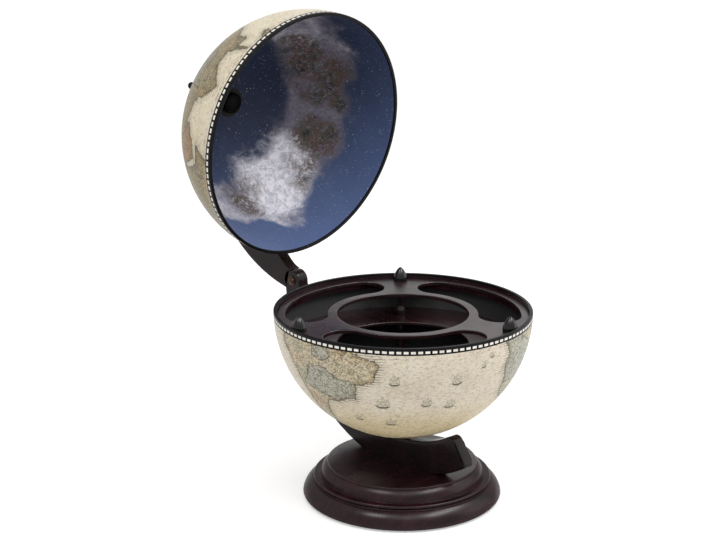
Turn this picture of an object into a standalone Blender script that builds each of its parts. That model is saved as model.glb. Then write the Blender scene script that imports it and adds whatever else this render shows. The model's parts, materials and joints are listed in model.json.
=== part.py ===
"""Tabletop globe bar: a globe that opens on a split meridian arm, with a bottle and glass rack inside.

The origin is the middle of the felt under the base and +Z is up. The arm stands in the YZ plane, with
its short stub at the front (-Y) and the lid's hinge at the back (+Y). The lid is modelled open, on its
stop, as it stands in use. Sizes are metres, angles are degrees.
"""

import math

import bmesh
import bpy
import numpy as np

# Fits between pieces
SEAT_GAP = 0.0003
RUN_GAP = 0.0003

# Globe
GLOBE_RADIUS = 0.165
SHELL_WALL = 0.0045
CLOSED_GAP = 0.0008
TURN_STEPS = 48
DOME_RINGS = 8

# Base
BASE_RADIUS = 0.129
BASE_HEIGHT = 0.047
FOOT_ROUND = 0.0051
LARGE_ROUND_WIDTH = 0.012
LARGE_ROUND_RADIUS = 0.024
SMALL_BEAD_RADIUS = 0.0024
SMALL_BEAD_STEP = 0.0016
FILLET_WIDTH = 0.0055
LOWER_STEP = 0.0015
UPPER_STEP_WIDTH = 0.001
UPPER_STEP_HEIGHT = 0.0034
OVOLO_WIDTH = 0.007
OVOLO_HEIGHT = 0.0094
OVOLO_RADIUS = 0.0195
QUIRK = 0.0007
DISC_HEIGHT = 0.0028
DISC_EDGE = 0.0008
FELT_THICKNESS = 0.0012
FELT_MARGIN = 0.010

# Meridian arms
ARM_GAP = 0.008
ARM_DEPTH = 0.044
ARM_THICKNESS = 0.016
ARM_EDGE = 0.0015
ARM_SINK = 0.011
STUB_SWEEP = 33.3
STUB_INNER_CORNER = 0.009
STUB_OUTER_CORNER = 0.003
PAST_POLE = 0.016
WAIST_SWEEP = 13.5

# Screws from the base into the lower arm
SCREW_SPREAD = 0.040
SCREW_RADIUS = 0.0025
SCREW_HEAD_RADIUS = 0.005
SCREW_HEAD_HEIGHT = 0.004
SCREW_HEAD_LEVEL = 0.009
SCREW_BITE = 0.020

# Lid hinge
HINGE_INSET = 0.014
HINGE_DROP = 0.0045
KNUCKLE_GAP = 0.0006
TONGUE_THICKNESS = 0.005
OPEN_ANGLE = 81.4
STOP_DIRECTION = -42.0
STOP_PLAY = 1.2
KNUCKLE_END = 182.0
HINGE_BOLT_RADIUS = 0.002
HINGE_HEAD_RADIUS = 0.0045
HINGE_HEAD_HEIGHT = 0.003
HINGE_NUT_BITE = 0.003
HINGE_NUT_HEIGHT = 0.005
HINGE_WASHER_RADIUS = 0.006
WASHER_THICKNESS = 0.0012
POLE_WASHER_RADIUS = 0.009

# Pole pins
POLE_BOLT_RADIUS = 0.003
BUSH_WALL = 0.0032
BUSH_FLANGE_RADIUS = 0.012
BUSH_FLANGE_THICKNESS = 0.0022
BUSH_PROUD = 0.0005
COLLAR_RADIUS = 0.010
COLLAR_SEAT = 0.001
NUT_WALL = 0.0031
NUT_HEIGHT = 0.005
BOLT_TAIL = 0.002
SOUTH_HEAD_RADIUS = 0.006
SOUTH_HEAD_HEIGHT = 0.0055
SOUTH_HEAD_SUNK = 0.0006
CAP_RADIUS = 0.0145
CAP_EDGE = 0.0025
CAP_CROWN = 0.006
CAP_BITE = 0.005

# Finial
FINIAL_BASE_RADIUS = 0.009
FINIAL_BASE_HEIGHT = 0.0026
FINIAL_NECK_RADIUS = 0.0052
FINIAL_NECK_HEIGHT = 0.0070
FINIAL_VASE_RADIUS = 0.0074
FINIAL_VASE_HEIGHT = 0.0155
FINIAL_WAIST_RADIUS = 0.0040
FINIAL_WAIST_HEIGHT = 0.0240
FINIAL_BALL_RADIUS = 0.0052
FINIAL_BITE = 0.012

# Rack in the bowl
RACK_FACING = -133.9
TRAY_DROP = 0.006
TRAY_THICKNESS = 0.005
LEDGE_WIDTH = 0.0085
LEDGE_THICKNESS = 0.0057
RIM_WEB = 0.0017
WELL_RADIUS = 0.084
WELL_WEB = 0.012
SLOT_MARGIN = 0.010
SPOKE_WIDTH = 0.0446
SLOT_COUNT = 3
SHELF_DROP = 0.045
SHELF_THICKNESS = 0.004
FLOOR_DROP = 0.098
FLOOR_THICKNESS = 0.004
NUT_ACCESS_RADIUS = 0.020
POST_RADIUS = 0.007
POST_WAIST_RADIUS = 0.0045
POST_FOOT = 0.004
POST_MARGIN = 0.011
PEG_RADIUS = 0.0095
PEG_RISE = 0.012
PEG_WALL_GAP = 0.0008
PEG_SHANK = 0.004
PEG_TAPER = 1.1
PEG_ROUNDING = 0.6
PEG_TENON_RADIUS = 0.003

# Sizes that follow from those above
SHELL_BORE = GLOBE_RADIUS - SHELL_WALL
RIM_DEPTH = TRAY_DROP + TRAY_THICKNESS + SEAT_GAP + RIM_WEB
ARM_INNER_RADIUS = GLOBE_RADIUS + ARM_GAP
ARM_OUTER_RADIUS = ARM_INNER_RADIUS + ARM_DEPTH
RIM_HEIGHT = BASE_HEIGHT - ARM_SINK + ARM_OUTER_RADIUS
HINGE_BACK = ARM_OUTER_RADIUS - HINGE_INSET
HINGE_HEIGHT = RIM_HEIGHT - HINGE_DROP
KNUCKLE_RADIUS = HINGE_INSET
KNUCKLE_SEAT = KNUCKLE_RADIUS + KNUCKLE_GAP
POLE_HOLE = POLE_BOLT_RADIUS + RUN_GAP
BUSH_RADIUS = POLE_HOLE + BUSH_WALL
BUSH_HOLE = BUSH_RADIUS + SEAT_GAP
BUSH_END = GLOBE_RADIUS + BUSH_PROUD
COLLAR_FLOOR = ARM_INNER_RADIUS + COLLAR_SEAT
TRAY_RADIUS = SHELL_BORE - SEAT_GAP
SLOT_INNER = WELL_RADIUS + WELL_WEB
SLOT_OUTER = TRAY_RADIUS - SLOT_MARGIN
SLOT_MIDDLE = (SLOT_INNER + SLOT_OUTER) / 2
SLOT_HALF_WIDTH = (SLOT_OUTER - SLOT_INNER) / 2
PEG_CIRCLE = SHELL_BORE - PEG_WALL_GAP - PEG_RADIUS

# Facets of curved edges
ARM_STEPS = 24
KNUCKLE_STEPS = 14
WAIST_STEPS = 8
CORNER_STEPS = 4
BEAD_STEPS = 4
ROUND_STEPS = 5
SLOT_END_STEPS = 6
SLOT_SIDE_STEPS = 8
SMALL_TURN_STEPS = 16
HEX_STEPS = 6
CUT_REACH = 0.010
SMOOTH_ANGLE = 35.0
MERGE_DISTANCE = 0.000001


def polar(centre, radius, degrees):
    """Point at a radius and direction from a centre, in the plane."""
    angle = math.radians(degrees)
    return centre[0] + radius * math.cos(angle), centre[1] + radius * math.sin(angle)


def arc(centre, radius, start, end, steps):
    """Points along an arc, both ends included."""
    return [polar(centre, radius, start + (end - start) * k / steps) for k in range(steps + 1)]


def direction_of(centre, point):
    """Direction of a point from a centre, in degrees."""
    return math.degrees(math.atan2(point[1] - centre[1], point[0] - centre[0]))


def bulge(start, end, radius, steps):
    """Points of a convex arc of a radius, from one point down and out to another."""
    chord = math.dist(start, end)
    reach = math.sqrt(radius ** 2 - (chord / 2) ** 2) / chord
    centre = ((start[0] + end[0]) / 2 + reach * (end[1] - start[1]),
              (start[1] + end[1]) / 2 - reach * (end[0] - start[0]))
    return arc(centre, radius, direction_of(centre, start), direction_of(centre, end), steps)


def eased(start, end):
    """Points from one to another that leave and arrive along the height, as on a turned bead."""
    points = []
    for t in np.linspace(0.0, 1.0, BEAD_STEPS + 1):
        swing = (1 - math.cos(math.pi * t)) / 2
        points.append((start[0] + (end[0] - start[0]) * swing, start[1] + (end[1] - start[1]) * t))
    return points


def joined(*stretches):
    """One outline from several stretches, without the points that they share."""
    outline = []
    for stretch in stretches:
        for point in stretch:
            if not outline or math.dist(point, outline[-1]) > MERGE_DISTANCE:
                outline.append(point)
    if math.dist(outline[0], outline[-1]) < MERGE_DISTANCE:
        outline.pop()
    return outline


def make_material(name, colour, roughness, metallic=0.0):
    """Principled material with the piece's colour and finish."""
    finish = bpy.data.materials.new(name)
    finish.use_nodes = True
    shader = finish.node_tree.nodes["Principled BSDF"]
    shader.inputs["Base Color"].default_value = (*colour, 1.0)
    shader.inputs["Roughness"].default_value = roughness
    shader.inputs["Metallic"].default_value = metallic
    finish.diffuse_color = (*colour, 1.0)
    return finish


def make_object(name, bm, finish=None, parent=None, location=(0, 0, 0)):
    """Object from a bmesh; without a finish it is a cutter, which shows as wire only."""
    bmesh.ops.remove_doubles(bm, verts=bm.verts, dist=MERGE_DISTANCE)
    bmesh.ops.recalc_face_normals(bm, faces=bm.faces)
    mesh = bpy.data.meshes.new(name)
    bm.to_mesh(mesh)
    bm.free()
    obj = bpy.data.objects.new(name, mesh)
    bpy.context.scene.collection.objects.link(obj)
    obj.parent = parent
    obj.location = location
    if finish is None:
        obj.hide_render = True
        obj.display_type = "WIRE"
    else:
        mesh.materials.append(finish)
        mesh.shade_smooth()
        mesh.set_sharp_from_angle(angle=math.radians(SMOOTH_ANGLE))
    return obj


def turned(name, profile, finish=None, parent=None, location=(0, 0, 0), steps=TURN_STEPS, along="Z"):
    """Piece turned about an axis from (radius, height) points; a profile off the axis is a closed ring."""
    bm = bmesh.new()
    verts = [bm.verts.new((radius, 0.0, height)) for radius, height in profile]
    edges = [bm.edges.new(pair) for pair in zip(verts, verts[1:])]
    on_axis = profile[0][0] == 0.0 and profile[-1][0] == 0.0
    if not on_axis:
        edges.append(bm.edges.new((verts[-1], verts[0])))
    bmesh.ops.spin(bm, geom=verts + edges, cent=(0, 0, 0), axis=(0, 0, 1), angle=math.tau, steps=steps,
                   use_merge=True)
    if along == "X":
        for vert in bm.verts:
            vert.co = (vert.co.z, vert.co.y, -vert.co.x)
    return make_object(name, bm, finish, parent, location)


def extruded(name, outline, low, high, finish=None, parent=None, location=(0, 0, 0), along="Z", chamfer=0.0):
    """Flat outline extruded from low to high; along X, the outline's points are (y, z)."""
    bm = bmesh.new()
    face = bm.faces.new([bm.verts.new((a, b, low)) for a, b in outline])
    grown = bmesh.ops.extrude_face_region(bm, geom=[face])["geom"]
    bmesh.ops.translate(bm, verts=[v for v in grown if isinstance(v, bmesh.types.BMVert)],
                        vec=(0, 0, high - low))
    if chamfer > 0.0:
        bmesh.ops.recalc_face_normals(bm, faces=bm.faces)
        flats = [f for f in bm.faces if abs(f.normal.z) > 0.5]
        bmesh.ops.bevel(bm, geom=[e for f in flats for e in f.edges], offset=chamfer, offset_type="OFFSET",
                        segments=1, profile=0.5, affect="EDGES")
    if along == "X":
        for vert in bm.verts:
            vert.co = (vert.co.z, vert.co.x, vert.co.y)
    return make_object(name, bm, finish, parent, location)


def cut(target, *cutters):
    """Subtracts each cutter from the target."""
    for cutter in cutters:
        modifier = target.modifiers.new(cutter.name, "BOOLEAN")
        modifier.operation = "DIFFERENCE"
        modifier.solver = "EXACT"
        modifier.object = cutter


def make_empty(name, location, parent=None, tilt=0.0):
    """Empty that marks a joint's axis, which the moving pieces are parented to."""
    empty = bpy.data.objects.new(name, None)
    bpy.context.scene.collection.objects.link(empty)
    empty.parent = parent
    empty.location = location
    empty.rotation_euler = (math.radians(tilt), 0.0, 0.0)
    return empty


def dome_curve(radius, hole, lip):
    """(radius, depth) points of a half globe, from its pole hole to its lip; depth is from the equator."""
    start = math.asin(hole / radius)
    end = math.acos(lip / radius)
    turns = np.linspace(start, end, DOME_RINGS + 1)
    return [(radius * math.sin(t), radius * math.cos(t)) for t in turns]


def bore_curve():
    """The inside of a shell, whose facets the rack and the bushes seat on."""
    return dome_curve(SHELL_BORE, BUSH_HOLE, RIM_DEPTH + SEAT_GAP)


def bore_at(depth):
    """Inner radius of a shell at a depth from the equator."""
    curve = bore_curve()
    return float(np.interp(depth, [d for _, d in reversed(curve)], [r for r, _ in reversed(curve)]))


def bore_depth_at(radius):
    """Depth of a shell's inside at a radius from the polar axis."""
    curve = bore_curve()
    return float(np.interp(radius, [r for r, _ in curve], [d for _, d in curve]))


def flipped(profile, side):
    """Profile of (radius, depth) as heights: side is 1 for the lid and -1 for the bowl."""
    return [(radius, side * depth) for radius, depth in profile]


def make_shell(name, side, finish, parent):
    """Half of the globe, open at the pole for its bush."""
    outer = dome_curve(GLOBE_RADIUS, BUSH_HOLE, RIM_DEPTH + SEAT_GAP)
    return turned(name, flipped(bore_curve() + outer[::-1], side), finish, parent)


def outer_at(depth):
    """Outer radius of the globe at a depth from the equator."""
    return math.sqrt(GLOBE_RADIUS ** 2 - depth ** 2)


def make_bowl_rim(finish, parent):
    """Rim ring of the bowl, with the ledge that the tray lies on."""
    ledge_top = TRAY_DROP + TRAY_THICKNESS + SEAT_GAP
    ledge_bottom = ledge_top + LEDGE_THICKNESS
    lip = bore_at(ledge_bottom) - SEAT_GAP
    ledge = SHELL_BORE - LEDGE_WIDTH
    profile = [
        (SHELL_BORE, 0.0),
        (GLOBE_RADIUS, 0.0),
        (outer_at(RIM_DEPTH / 2), RIM_DEPTH / 2),
        (outer_at(RIM_DEPTH), RIM_DEPTH),
        (lip, RIM_DEPTH),
        (lip, ledge_bottom),
        (ledge, ledge_bottom),
        (ledge, ledge_top),
        (SHELL_BORE, ledge_top),
    ]
    return turned("bowl_rim", flipped(profile, -1), finish, parent)


def make_lid_rim(finish, parent):
    """Rim ring of the lid, flush with its shell inside and out."""
    profile = [
        (SHELL_BORE, 0.0),
        (GLOBE_RADIUS, 0.0),
        (outer_at(RIM_DEPTH / 2), RIM_DEPTH / 2),
        (outer_at(RIM_DEPTH), RIM_DEPTH),
        (math.sqrt(SHELL_BORE ** 2 - RIM_DEPTH ** 2), RIM_DEPTH),
    ]
    return turned("lid_rim", flipped(profile, 1), finish, parent)


def make_base(finish, felt_finish):
    """Felt and turned plinth, with the arm's mortise and the screws' holes."""
    felt_radius = BASE_RADIUS - FELT_MARGIN
    felt = [(0.0, FELT_THICKNESS), (felt_radius, FELT_THICKNESS), (felt_radius, 0.0), (0.0, 0.0)]
    turned("base_felt", felt, felt_finish)

    foot = FELT_THICKNESS + SEAT_GAP
    round_in = BASE_RADIUS - LARGE_ROUND_WIDTH
    small_bead_out = round_in - SMALL_BEAD_STEP
    small_bead_in = small_bead_out - SMALL_BEAD_RADIUS
    lower_step_out = small_bead_in - FILLET_WIDTH
    upper_step_out = lower_step_out - LOWER_STEP
    ovolo_out = upper_step_out - UPPER_STEP_WIDTH
    ovolo_in = ovolo_out - OVOLO_WIDTH
    disc_out = ovolo_in - QUIRK
    ovolo_top = BASE_HEIGHT - DISC_HEIGHT
    ovolo_low = ovolo_top - OVOLO_HEIGHT
    upper_step_low = ovolo_low - UPPER_STEP_HEIGHT
    fillet_level = upper_step_low - LOWER_STEP
    small_bead_low = fillet_level - 2 * SMALL_BEAD_RADIUS
    round_top = small_bead_low - SMALL_BEAD_STEP
    round_low = foot + FOOT_ROUND
    profile = joined(
        [(0.0, BASE_HEIGHT), (disc_out - DISC_EDGE, BASE_HEIGHT), (disc_out, BASE_HEIGHT - DISC_EDGE),
         (disc_out, ovolo_top)],
        bulge((ovolo_in, ovolo_top), (ovolo_out, ovolo_low), OVOLO_RADIUS, ROUND_STEPS),
        [(upper_step_out, ovolo_low), (upper_step_out, upper_step_low), (lower_step_out, upper_step_low),
         (lower_step_out, fillet_level)],
        arc((small_bead_in, fillet_level - SMALL_BEAD_RADIUS), SMALL_BEAD_RADIUS, 90, -90, BEAD_STEPS),
        [(small_bead_out, small_bead_low), (small_bead_out, round_top)],
        bulge((round_in, round_top), (BASE_RADIUS, round_low), LARGE_ROUND_RADIUS, ROUND_STEPS),
        arc((BASE_RADIUS - FOOT_ROUND, round_low), FOOT_ROUND, 0, -90, BEAD_STEPS),
        [(0.0, foot)],
    )
    plinth = turned("base_plinth", profile, finish)

    mortise_outline = arc((0.0, RIM_HEIGHT), ARM_OUTER_RADIUS + SEAT_GAP, -180, 0, 2 * ARM_STEPS)
    half_mortise = ARM_THICKNESS / 2 + SEAT_GAP
    cut(plinth, extruded("mortise_cutter", mortise_outline, -half_mortise, half_mortise, along="X"))
    for place, side in (("front", -1), ("back", 1)):
        head = SCREW_HEAD_RADIUS + SEAT_GAP
        head_top = SCREW_HEAD_LEVEL + SEAT_GAP
        shank = SCREW_RADIUS + SEAT_GAP
        drill = [(0.0, BASE_HEIGHT), (shank, BASE_HEIGHT), (shank, head_top), (head, head_top),
                 (head, -CUT_REACH), (0.0, -CUT_REACH)]
        cut(plinth, turned(f"base_drill_{place}", drill, location=(0, side * SCREW_SPREAD, 0),
                           steps=SMALL_TURN_STEPS))


def screw_top():
    """Height of the arm screws' tips."""
    return RIM_HEIGHT - math.sqrt(ARM_OUTER_RADIUS ** 2 - SCREW_SPREAD ** 2) + SCREW_BITE


def make_arm_screws(finish):
    """The two screws that hold the lower arm in the base."""
    tip = screw_top()
    head_low = SCREW_HEAD_LEVEL - SCREW_HEAD_HEIGHT
    profile = [(0.0, tip), (SCREW_RADIUS, tip - SCREW_RADIUS), (SCREW_RADIUS, SCREW_HEAD_LEVEL),
               (SCREW_HEAD_RADIUS, SCREW_HEAD_LEVEL), (SCREW_HEAD_RADIUS, head_low), (0.0, head_low)]
    for place, side in (("front", -1), ("back", 1)):
        turned(f"arm_screw_{place}", profile, finish, location=(0, side * SCREW_SPREAD, 0),
               steps=SMALL_TURN_STEPS)


def arm_outline(centre, side, end_sweep, stop_direction):
    """Outline of an arm about the hinge: outer edge, stop, knuckle, waist, inner edge and rounded end.

    centre is the globe's middle as seen from the hinge, side is -1 for the lower arm and 1 for the upper
    one, and end_sweep is how far the arm runs on past its pole.
    """
    pivot = (0.0, 0.0)
    end = side * (90.0 + end_sweep)
    ray = polar(pivot, 1.0, stop_direction)
    along = centre[0] * ray[0] + centre[1] * ray[1]
    stop_reach = along + math.sqrt(along ** 2 - math.hypot(*centre) ** 2 + ARM_OUTER_RADIUS ** 2)
    stop_corner = polar(pivot, stop_reach, stop_direction)

    inner_middle = ARM_INNER_RADIUS + STUB_INNER_CORNER
    outer_middle = ARM_OUTER_RADIUS - STUB_OUTER_CORNER
    inner_turn = end - side * math.degrees(math.asin(STUB_INNER_CORNER / inner_middle))
    outer_turn = end - side * math.degrees(math.asin(STUB_OUTER_CORNER / outer_middle))

    knuckle = arc(pivot, KNUCKLE_RADIUS, stop_direction, -side * KNUCKLE_END, KNUCKLE_STEPS)
    waist_start = direction_of(centre, knuckle[-1])
    waist_radius = math.dist(centre, knuckle[-1])
    waist = []
    for k in range(1, WAIST_STEPS + 1):
        t = k / WAIST_STEPS
        ease = t * t * (3 - 2 * t)
        radius = waist_radius + (ARM_INNER_RADIUS - waist_radius) * ease
        waist.append(polar(centre, radius, waist_start + (side * WAIST_SWEEP - waist_start) * t))
    return joined(
        arc(centre, ARM_OUTER_RADIUS, outer_turn, direction_of(centre, stop_corner), ARM_STEPS),
        knuckle,
        waist,
        arc(centre, ARM_INNER_RADIUS, side * WAIST_SWEEP, inner_turn, ARM_STEPS),
        arc(polar(centre, inner_middle, inner_turn), STUB_INNER_CORNER, inner_turn + 180.0,
            inner_turn + 180.0 - side * 90.0, CORNER_STEPS),
        arc(polar(centre, outer_middle, outer_turn), STUB_OUTER_CORNER, outer_turn + side * 90.0, outer_turn,
            CORNER_STEPS),
    )


def make_lower_arm(finish):
    """Board under and behind the bowl, with the fork for the upper arm's tongue."""
    hinge = (0.0, HINGE_BACK, HINGE_HEIGHT)
    centre = (-HINGE_BACK, HINGE_DROP)
    half = ARM_THICKNESS / 2
    board = extruded("lower_arm", arm_outline(centre, -1, STUB_SWEEP, STOP_DIRECTION), -half, half, finish,
                     location=hinge, along="X", chamfer=ARM_EDGE)

    half_slot = TONGUE_THICKNESS / 2 + RUN_GAP
    slot = turned("fork_cutter", [(0.0, half_slot), (KNUCKLE_SEAT, half_slot), (KNUCKLE_SEAT, -half_slot),
                                  (0.0, -half_slot)], location=hinge, along="X")
    cut(board, slot, hinge_drill("lower_hinge_drill", None, hinge))

    drill_radius = SOUTH_HEAD_RADIUS + SEAT_GAP
    head_floor = ARM_OUTER_RADIUS - SOUTH_HEAD_SUNK - SOUTH_HEAD_HEIGHT - SEAT_GAP
    drill = flipped([
        (0.0, ARM_INNER_RADIUS - COLLAR_RADIUS),
        (COLLAR_RADIUS + SEAT_GAP, ARM_INNER_RADIUS - COLLAR_RADIUS),
        (COLLAR_RADIUS + SEAT_GAP, COLLAR_FLOOR),
        (POLE_HOLE, COLLAR_FLOOR),
        (POLE_HOLE, head_floor),
        (drill_radius, head_floor),
        (drill_radius, ARM_OUTER_RADIUS + CUT_REACH),
        (0.0, ARM_OUTER_RADIUS + CUT_REACH),
    ], -1)
    cut(board, turned("south_drill", drill, location=(0, 0, RIM_HEIGHT), steps=SMALL_TURN_STEPS))
    for place, side in (("front", -1), ("back", 1)):
        shank = SCREW_RADIUS + SEAT_GAP
        top = screw_top() + SEAT_GAP
        cut(board, turned(f"arm_drill_{place}", [(0.0, top), (shank, top), (shank, 0.0), (0.0, 0.0)],
                          location=(0, side * SCREW_SPREAD, 0), steps=SMALL_TURN_STEPS))


def hinge_drill(name, parent, location):
    """Hole for the hinge bolt, right through a board."""
    radius = HINGE_BOLT_RADIUS + RUN_GAP
    reach = ARM_THICKNESS
    return turned(name, [(0.0, reach), (radius, reach), (radius, -reach), (0.0, -reach)], parent=parent,
                  location=location, steps=SMALL_TURN_STEPS, along="X")


def make_upper_arm(finish, hinge_axis, lid_axis):
    """Board from the hinge to the north pole, with a tongue between the lower arm's cheeks."""
    centre = (-HINGE_BACK, HINGE_DROP + CLOSED_GAP)
    half = ARM_THICKNESS / 2
    past_pole = math.degrees(PAST_POLE / ARM_OUTER_RADIUS)
    outline = arm_outline(centre, 1, past_pole, STOP_DIRECTION + OPEN_ANGLE + STOP_PLAY)
    board = extruded("upper_arm", outline, -half, half, finish, hinge_axis, along="X", chamfer=ARM_EDGE)

    cheek = TONGUE_THICKNESS / 2
    for place, low, high in (("left", -half - CUT_REACH, -cheek), ("right", cheek, half + CUT_REACH)):
        seat = [(0.0, high), (KNUCKLE_SEAT, high), (KNUCKLE_SEAT, low), (0.0, low)]
        cut(board, turned(f"cheek_cutter_{place}", seat, parent=hinge_axis, along="X"))
    cut(board, hinge_drill("upper_hinge_drill", hinge_axis, (0, 0, 0)))

    drill = [
        (0.0, ARM_OUTER_RADIUS + CUT_REACH),
        (POLE_HOLE, ARM_OUTER_RADIUS + CUT_REACH),
        (POLE_HOLE, COLLAR_FLOOR),
        (COLLAR_RADIUS + SEAT_GAP, COLLAR_FLOOR),
        (COLLAR_RADIUS + SEAT_GAP, ARM_INNER_RADIUS - COLLAR_RADIUS),
        (0.0, ARM_INNER_RADIUS - COLLAR_RADIUS),
    ]
    cut(board, turned("north_drill", drill, parent=lid_axis, steps=SMALL_TURN_STEPS))


def make_hinge_fittings(finish):
    """Bolt, washers and cap nut of the lid's hinge, fixed to the lower arm's cheeks."""
    hinge = (0.0, HINGE_BACK, HINGE_HEIGHT)
    washer_in = ARM_THICKNESS / 2 + SEAT_GAP
    washer_out = washer_in + WASHER_THICKNESS
    head = washer_out + SEAT_GAP
    hole = HINGE_BOLT_RADIUS + SEAT_GAP
    for place, side in (("left", -1), ("right", 1)):
        near = side * washer_in
        far = side * washer_out
        ring = [(hole, near), (HINGE_WASHER_RADIUS, near), (HINGE_WASHER_RADIUS, far), (hole, far)]
        turned(f"hinge_washer_{place}", ring, finish, location=hinge, steps=SMALL_TURN_STEPS, along="X")

    crown = [(HINGE_HEAD_RADIUS * math.sin(t), -head - HINGE_HEAD_HEIGHT * math.cos(t))
             for t in np.linspace(math.pi / 2, 0.0, BEAD_STEPS + 1)]
    crown[-1] = (0.0, -head - HINGE_HEAD_HEIGHT)
    tip = head + HINGE_NUT_BITE
    turned("hinge_bolt", [(0.0, tip), (HINGE_BOLT_RADIUS, tip), (HINGE_BOLT_RADIUS, -head)] + crown, finish,
           location=hinge, steps=SMALL_TURN_STEPS, along="X")

    nut_crown = [(HINGE_HEAD_RADIUS * math.sin(t), head + HINGE_NUT_HEIGHT * math.cos(t))
                 for t in np.linspace(0.0, math.pi / 2, BEAD_STEPS + 1)]
    nut_crown[0] = (0.0, head + HINGE_NUT_HEIGHT)
    turned("hinge_cap_nut", nut_crown + [(hole, head), (hole, tip + SEAT_GAP), (0.0, tip + SEAT_GAP)], finish,
           location=hinge, steps=SMALL_TURN_STEPS, along="X")


def bush_flange():
    """Depths of the inner and outer faces of a pole bush's flange."""
    outer = bore_depth_at(BUSH_FLANGE_RADIUS) - SEAT_GAP
    return outer - BUSH_FLANGE_THICKNESS, outer


def make_pole_ring_pair(pole, side, bush_parent, collar_parent, collar_place, finish):
    """Bush that turns with a half globe, and the collar between it and the arm."""
    inner, outer = bush_flange()
    bush = [(POLE_HOLE, inner), (BUSH_FLANGE_RADIUS, inner), (BUSH_FLANGE_RADIUS, outer),
            (BUSH_RADIUS, outer), (BUSH_RADIUS, BUSH_END), (POLE_HOLE, BUSH_END)]
    turned(f"{pole}_bush", flipped(bush, side), finish, bush_parent, steps=SMALL_TURN_STEPS)
    low = BUSH_END + RUN_GAP
    high = COLLAR_FLOOR - SEAT_GAP
    collar = [(POLE_HOLE, low), (COLLAR_RADIUS, low), (COLLAR_RADIUS, high), (POLE_HOLE, high)]
    turned(f"{pole}_collar", flipped(collar, side), finish, collar_parent, collar_place,
           steps=SMALL_TURN_STEPS)


def make_south_fittings(finish, steel, bowl_axis):
    """Pin that the bowl turns on: bolt from under the arm, with a washer and a nut inside the bowl."""
    centre = (0, 0, RIM_HEIGHT)
    make_pole_ring_pair("south", -1, bowl_axis, None, centre, finish)
    washer_out = bush_flange()[0] - RUN_GAP
    washer_in = washer_out - WASHER_THICKNESS
    washer = [(POLE_HOLE, washer_in), (POLE_WASHER_RADIUS, washer_in), (POLE_WASHER_RADIUS, washer_out),
              (POLE_HOLE, washer_out)]
    turned("south_washer", flipped(washer, -1), steel, location=centre, steps=SMALL_TURN_STEPS)

    nut_out = washer_in - SEAT_GAP
    nut_in = nut_out - NUT_HEIGHT
    hex_hole = POLE_HOLE / math.cos(math.pi / HEX_STEPS)
    hex_out = hex_hole + NUT_WALL
    nut = [(hex_hole, nut_in), (hex_out, nut_in), (hex_out, nut_out), (hex_hole, nut_out)]
    turned("south_nut", flipped(nut, -1), steel, location=centre, steps=HEX_STEPS)

    tip = nut_in - BOLT_TAIL
    head_out = ARM_OUTER_RADIUS - SOUTH_HEAD_SUNK
    head_in = head_out - SOUTH_HEAD_HEIGHT
    bolt = [(0.0, tip), (POLE_BOLT_RADIUS, tip), (POLE_BOLT_RADIUS, head_in), (SOUTH_HEAD_RADIUS, head_in),
            (SOUTH_HEAD_RADIUS, head_out), (0.0, head_out)]
    turned("south_bolt", flipped(bolt, -1), steel, location=centre, steps=SMALL_TURN_STEPS)


def make_north_fittings(finish, steel, wood, lid_axis):
    """Pin that the lid turns on: bolt between the domed cap inside the lid and the finial outside the arm."""
    make_pole_ring_pair("north", 1, lid_axis, lid_axis, (0, 0, 0), finish)
    face = bush_flange()[0] - RUN_GAP
    bolt_in = face - CAP_BITE
    crown = [(CAP_RADIUS * math.cos(t), face - CAP_EDGE - CAP_CROWN * math.sin(t))
             for t in np.linspace(0.0, math.pi / 2, BEAD_STEPS + 1)]
    crown[-1] = (0.0, face - CAP_EDGE - CAP_CROWN)
    hole_end = bolt_in - SEAT_GAP
    socket = [(0.0, hole_end), (POLE_HOLE, hole_end), (POLE_HOLE, face)]
    turned("north_cap", socket + [(CAP_RADIUS, face)] + crown, wood, lid_axis, steps=SMALL_TURN_STEPS)

    foot = ARM_OUTER_RADIUS + SEAT_GAP
    bolt_out = foot + FINIAL_BITE
    bolt = [(0.0, bolt_out), (POLE_BOLT_RADIUS, bolt_out), (POLE_BOLT_RADIUS, bolt_in), (0.0, bolt_in)]
    turned("north_bolt", bolt, steel, lid_axis, steps=SMALL_TURN_STEPS)

    ball_drop = math.sqrt(FINIAL_BALL_RADIUS ** 2 - FINIAL_WAIST_RADIUS ** 2)
    ball_middle = foot + FINIAL_WAIST_HEIGHT + ball_drop
    ball_start = -math.degrees(math.atan2(ball_drop, FINIAL_WAIST_RADIUS))
    ball = arc((0.0, ball_middle), FINIAL_BALL_RADIUS, 90, ball_start, ROUND_STEPS)
    ball[0] = (0.0, ball_middle + FINIAL_BALL_RADIUS)
    waist = (FINIAL_WAIST_RADIUS, foot + FINIAL_WAIST_HEIGHT)
    vase = (FINIAL_VASE_RADIUS, foot + FINIAL_VASE_HEIGHT)
    neck = (FINIAL_NECK_RADIUS, foot + FINIAL_NECK_HEIGHT)
    profile = ball + eased(waist, vase)[1:] + eased(vase, neck)[1:] + [
        (FINIAL_BASE_RADIUS, foot + FINIAL_BASE_HEIGHT),
        (FINIAL_BASE_RADIUS, foot),
        (POLE_HOLE, foot),
        (POLE_HOLE, bolt_out + SEAT_GAP),
        (0.0, bolt_out + SEAT_GAP),
    ]
    turned("finial", profile, wood, lid_axis, steps=SMALL_TURN_STEPS)


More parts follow.
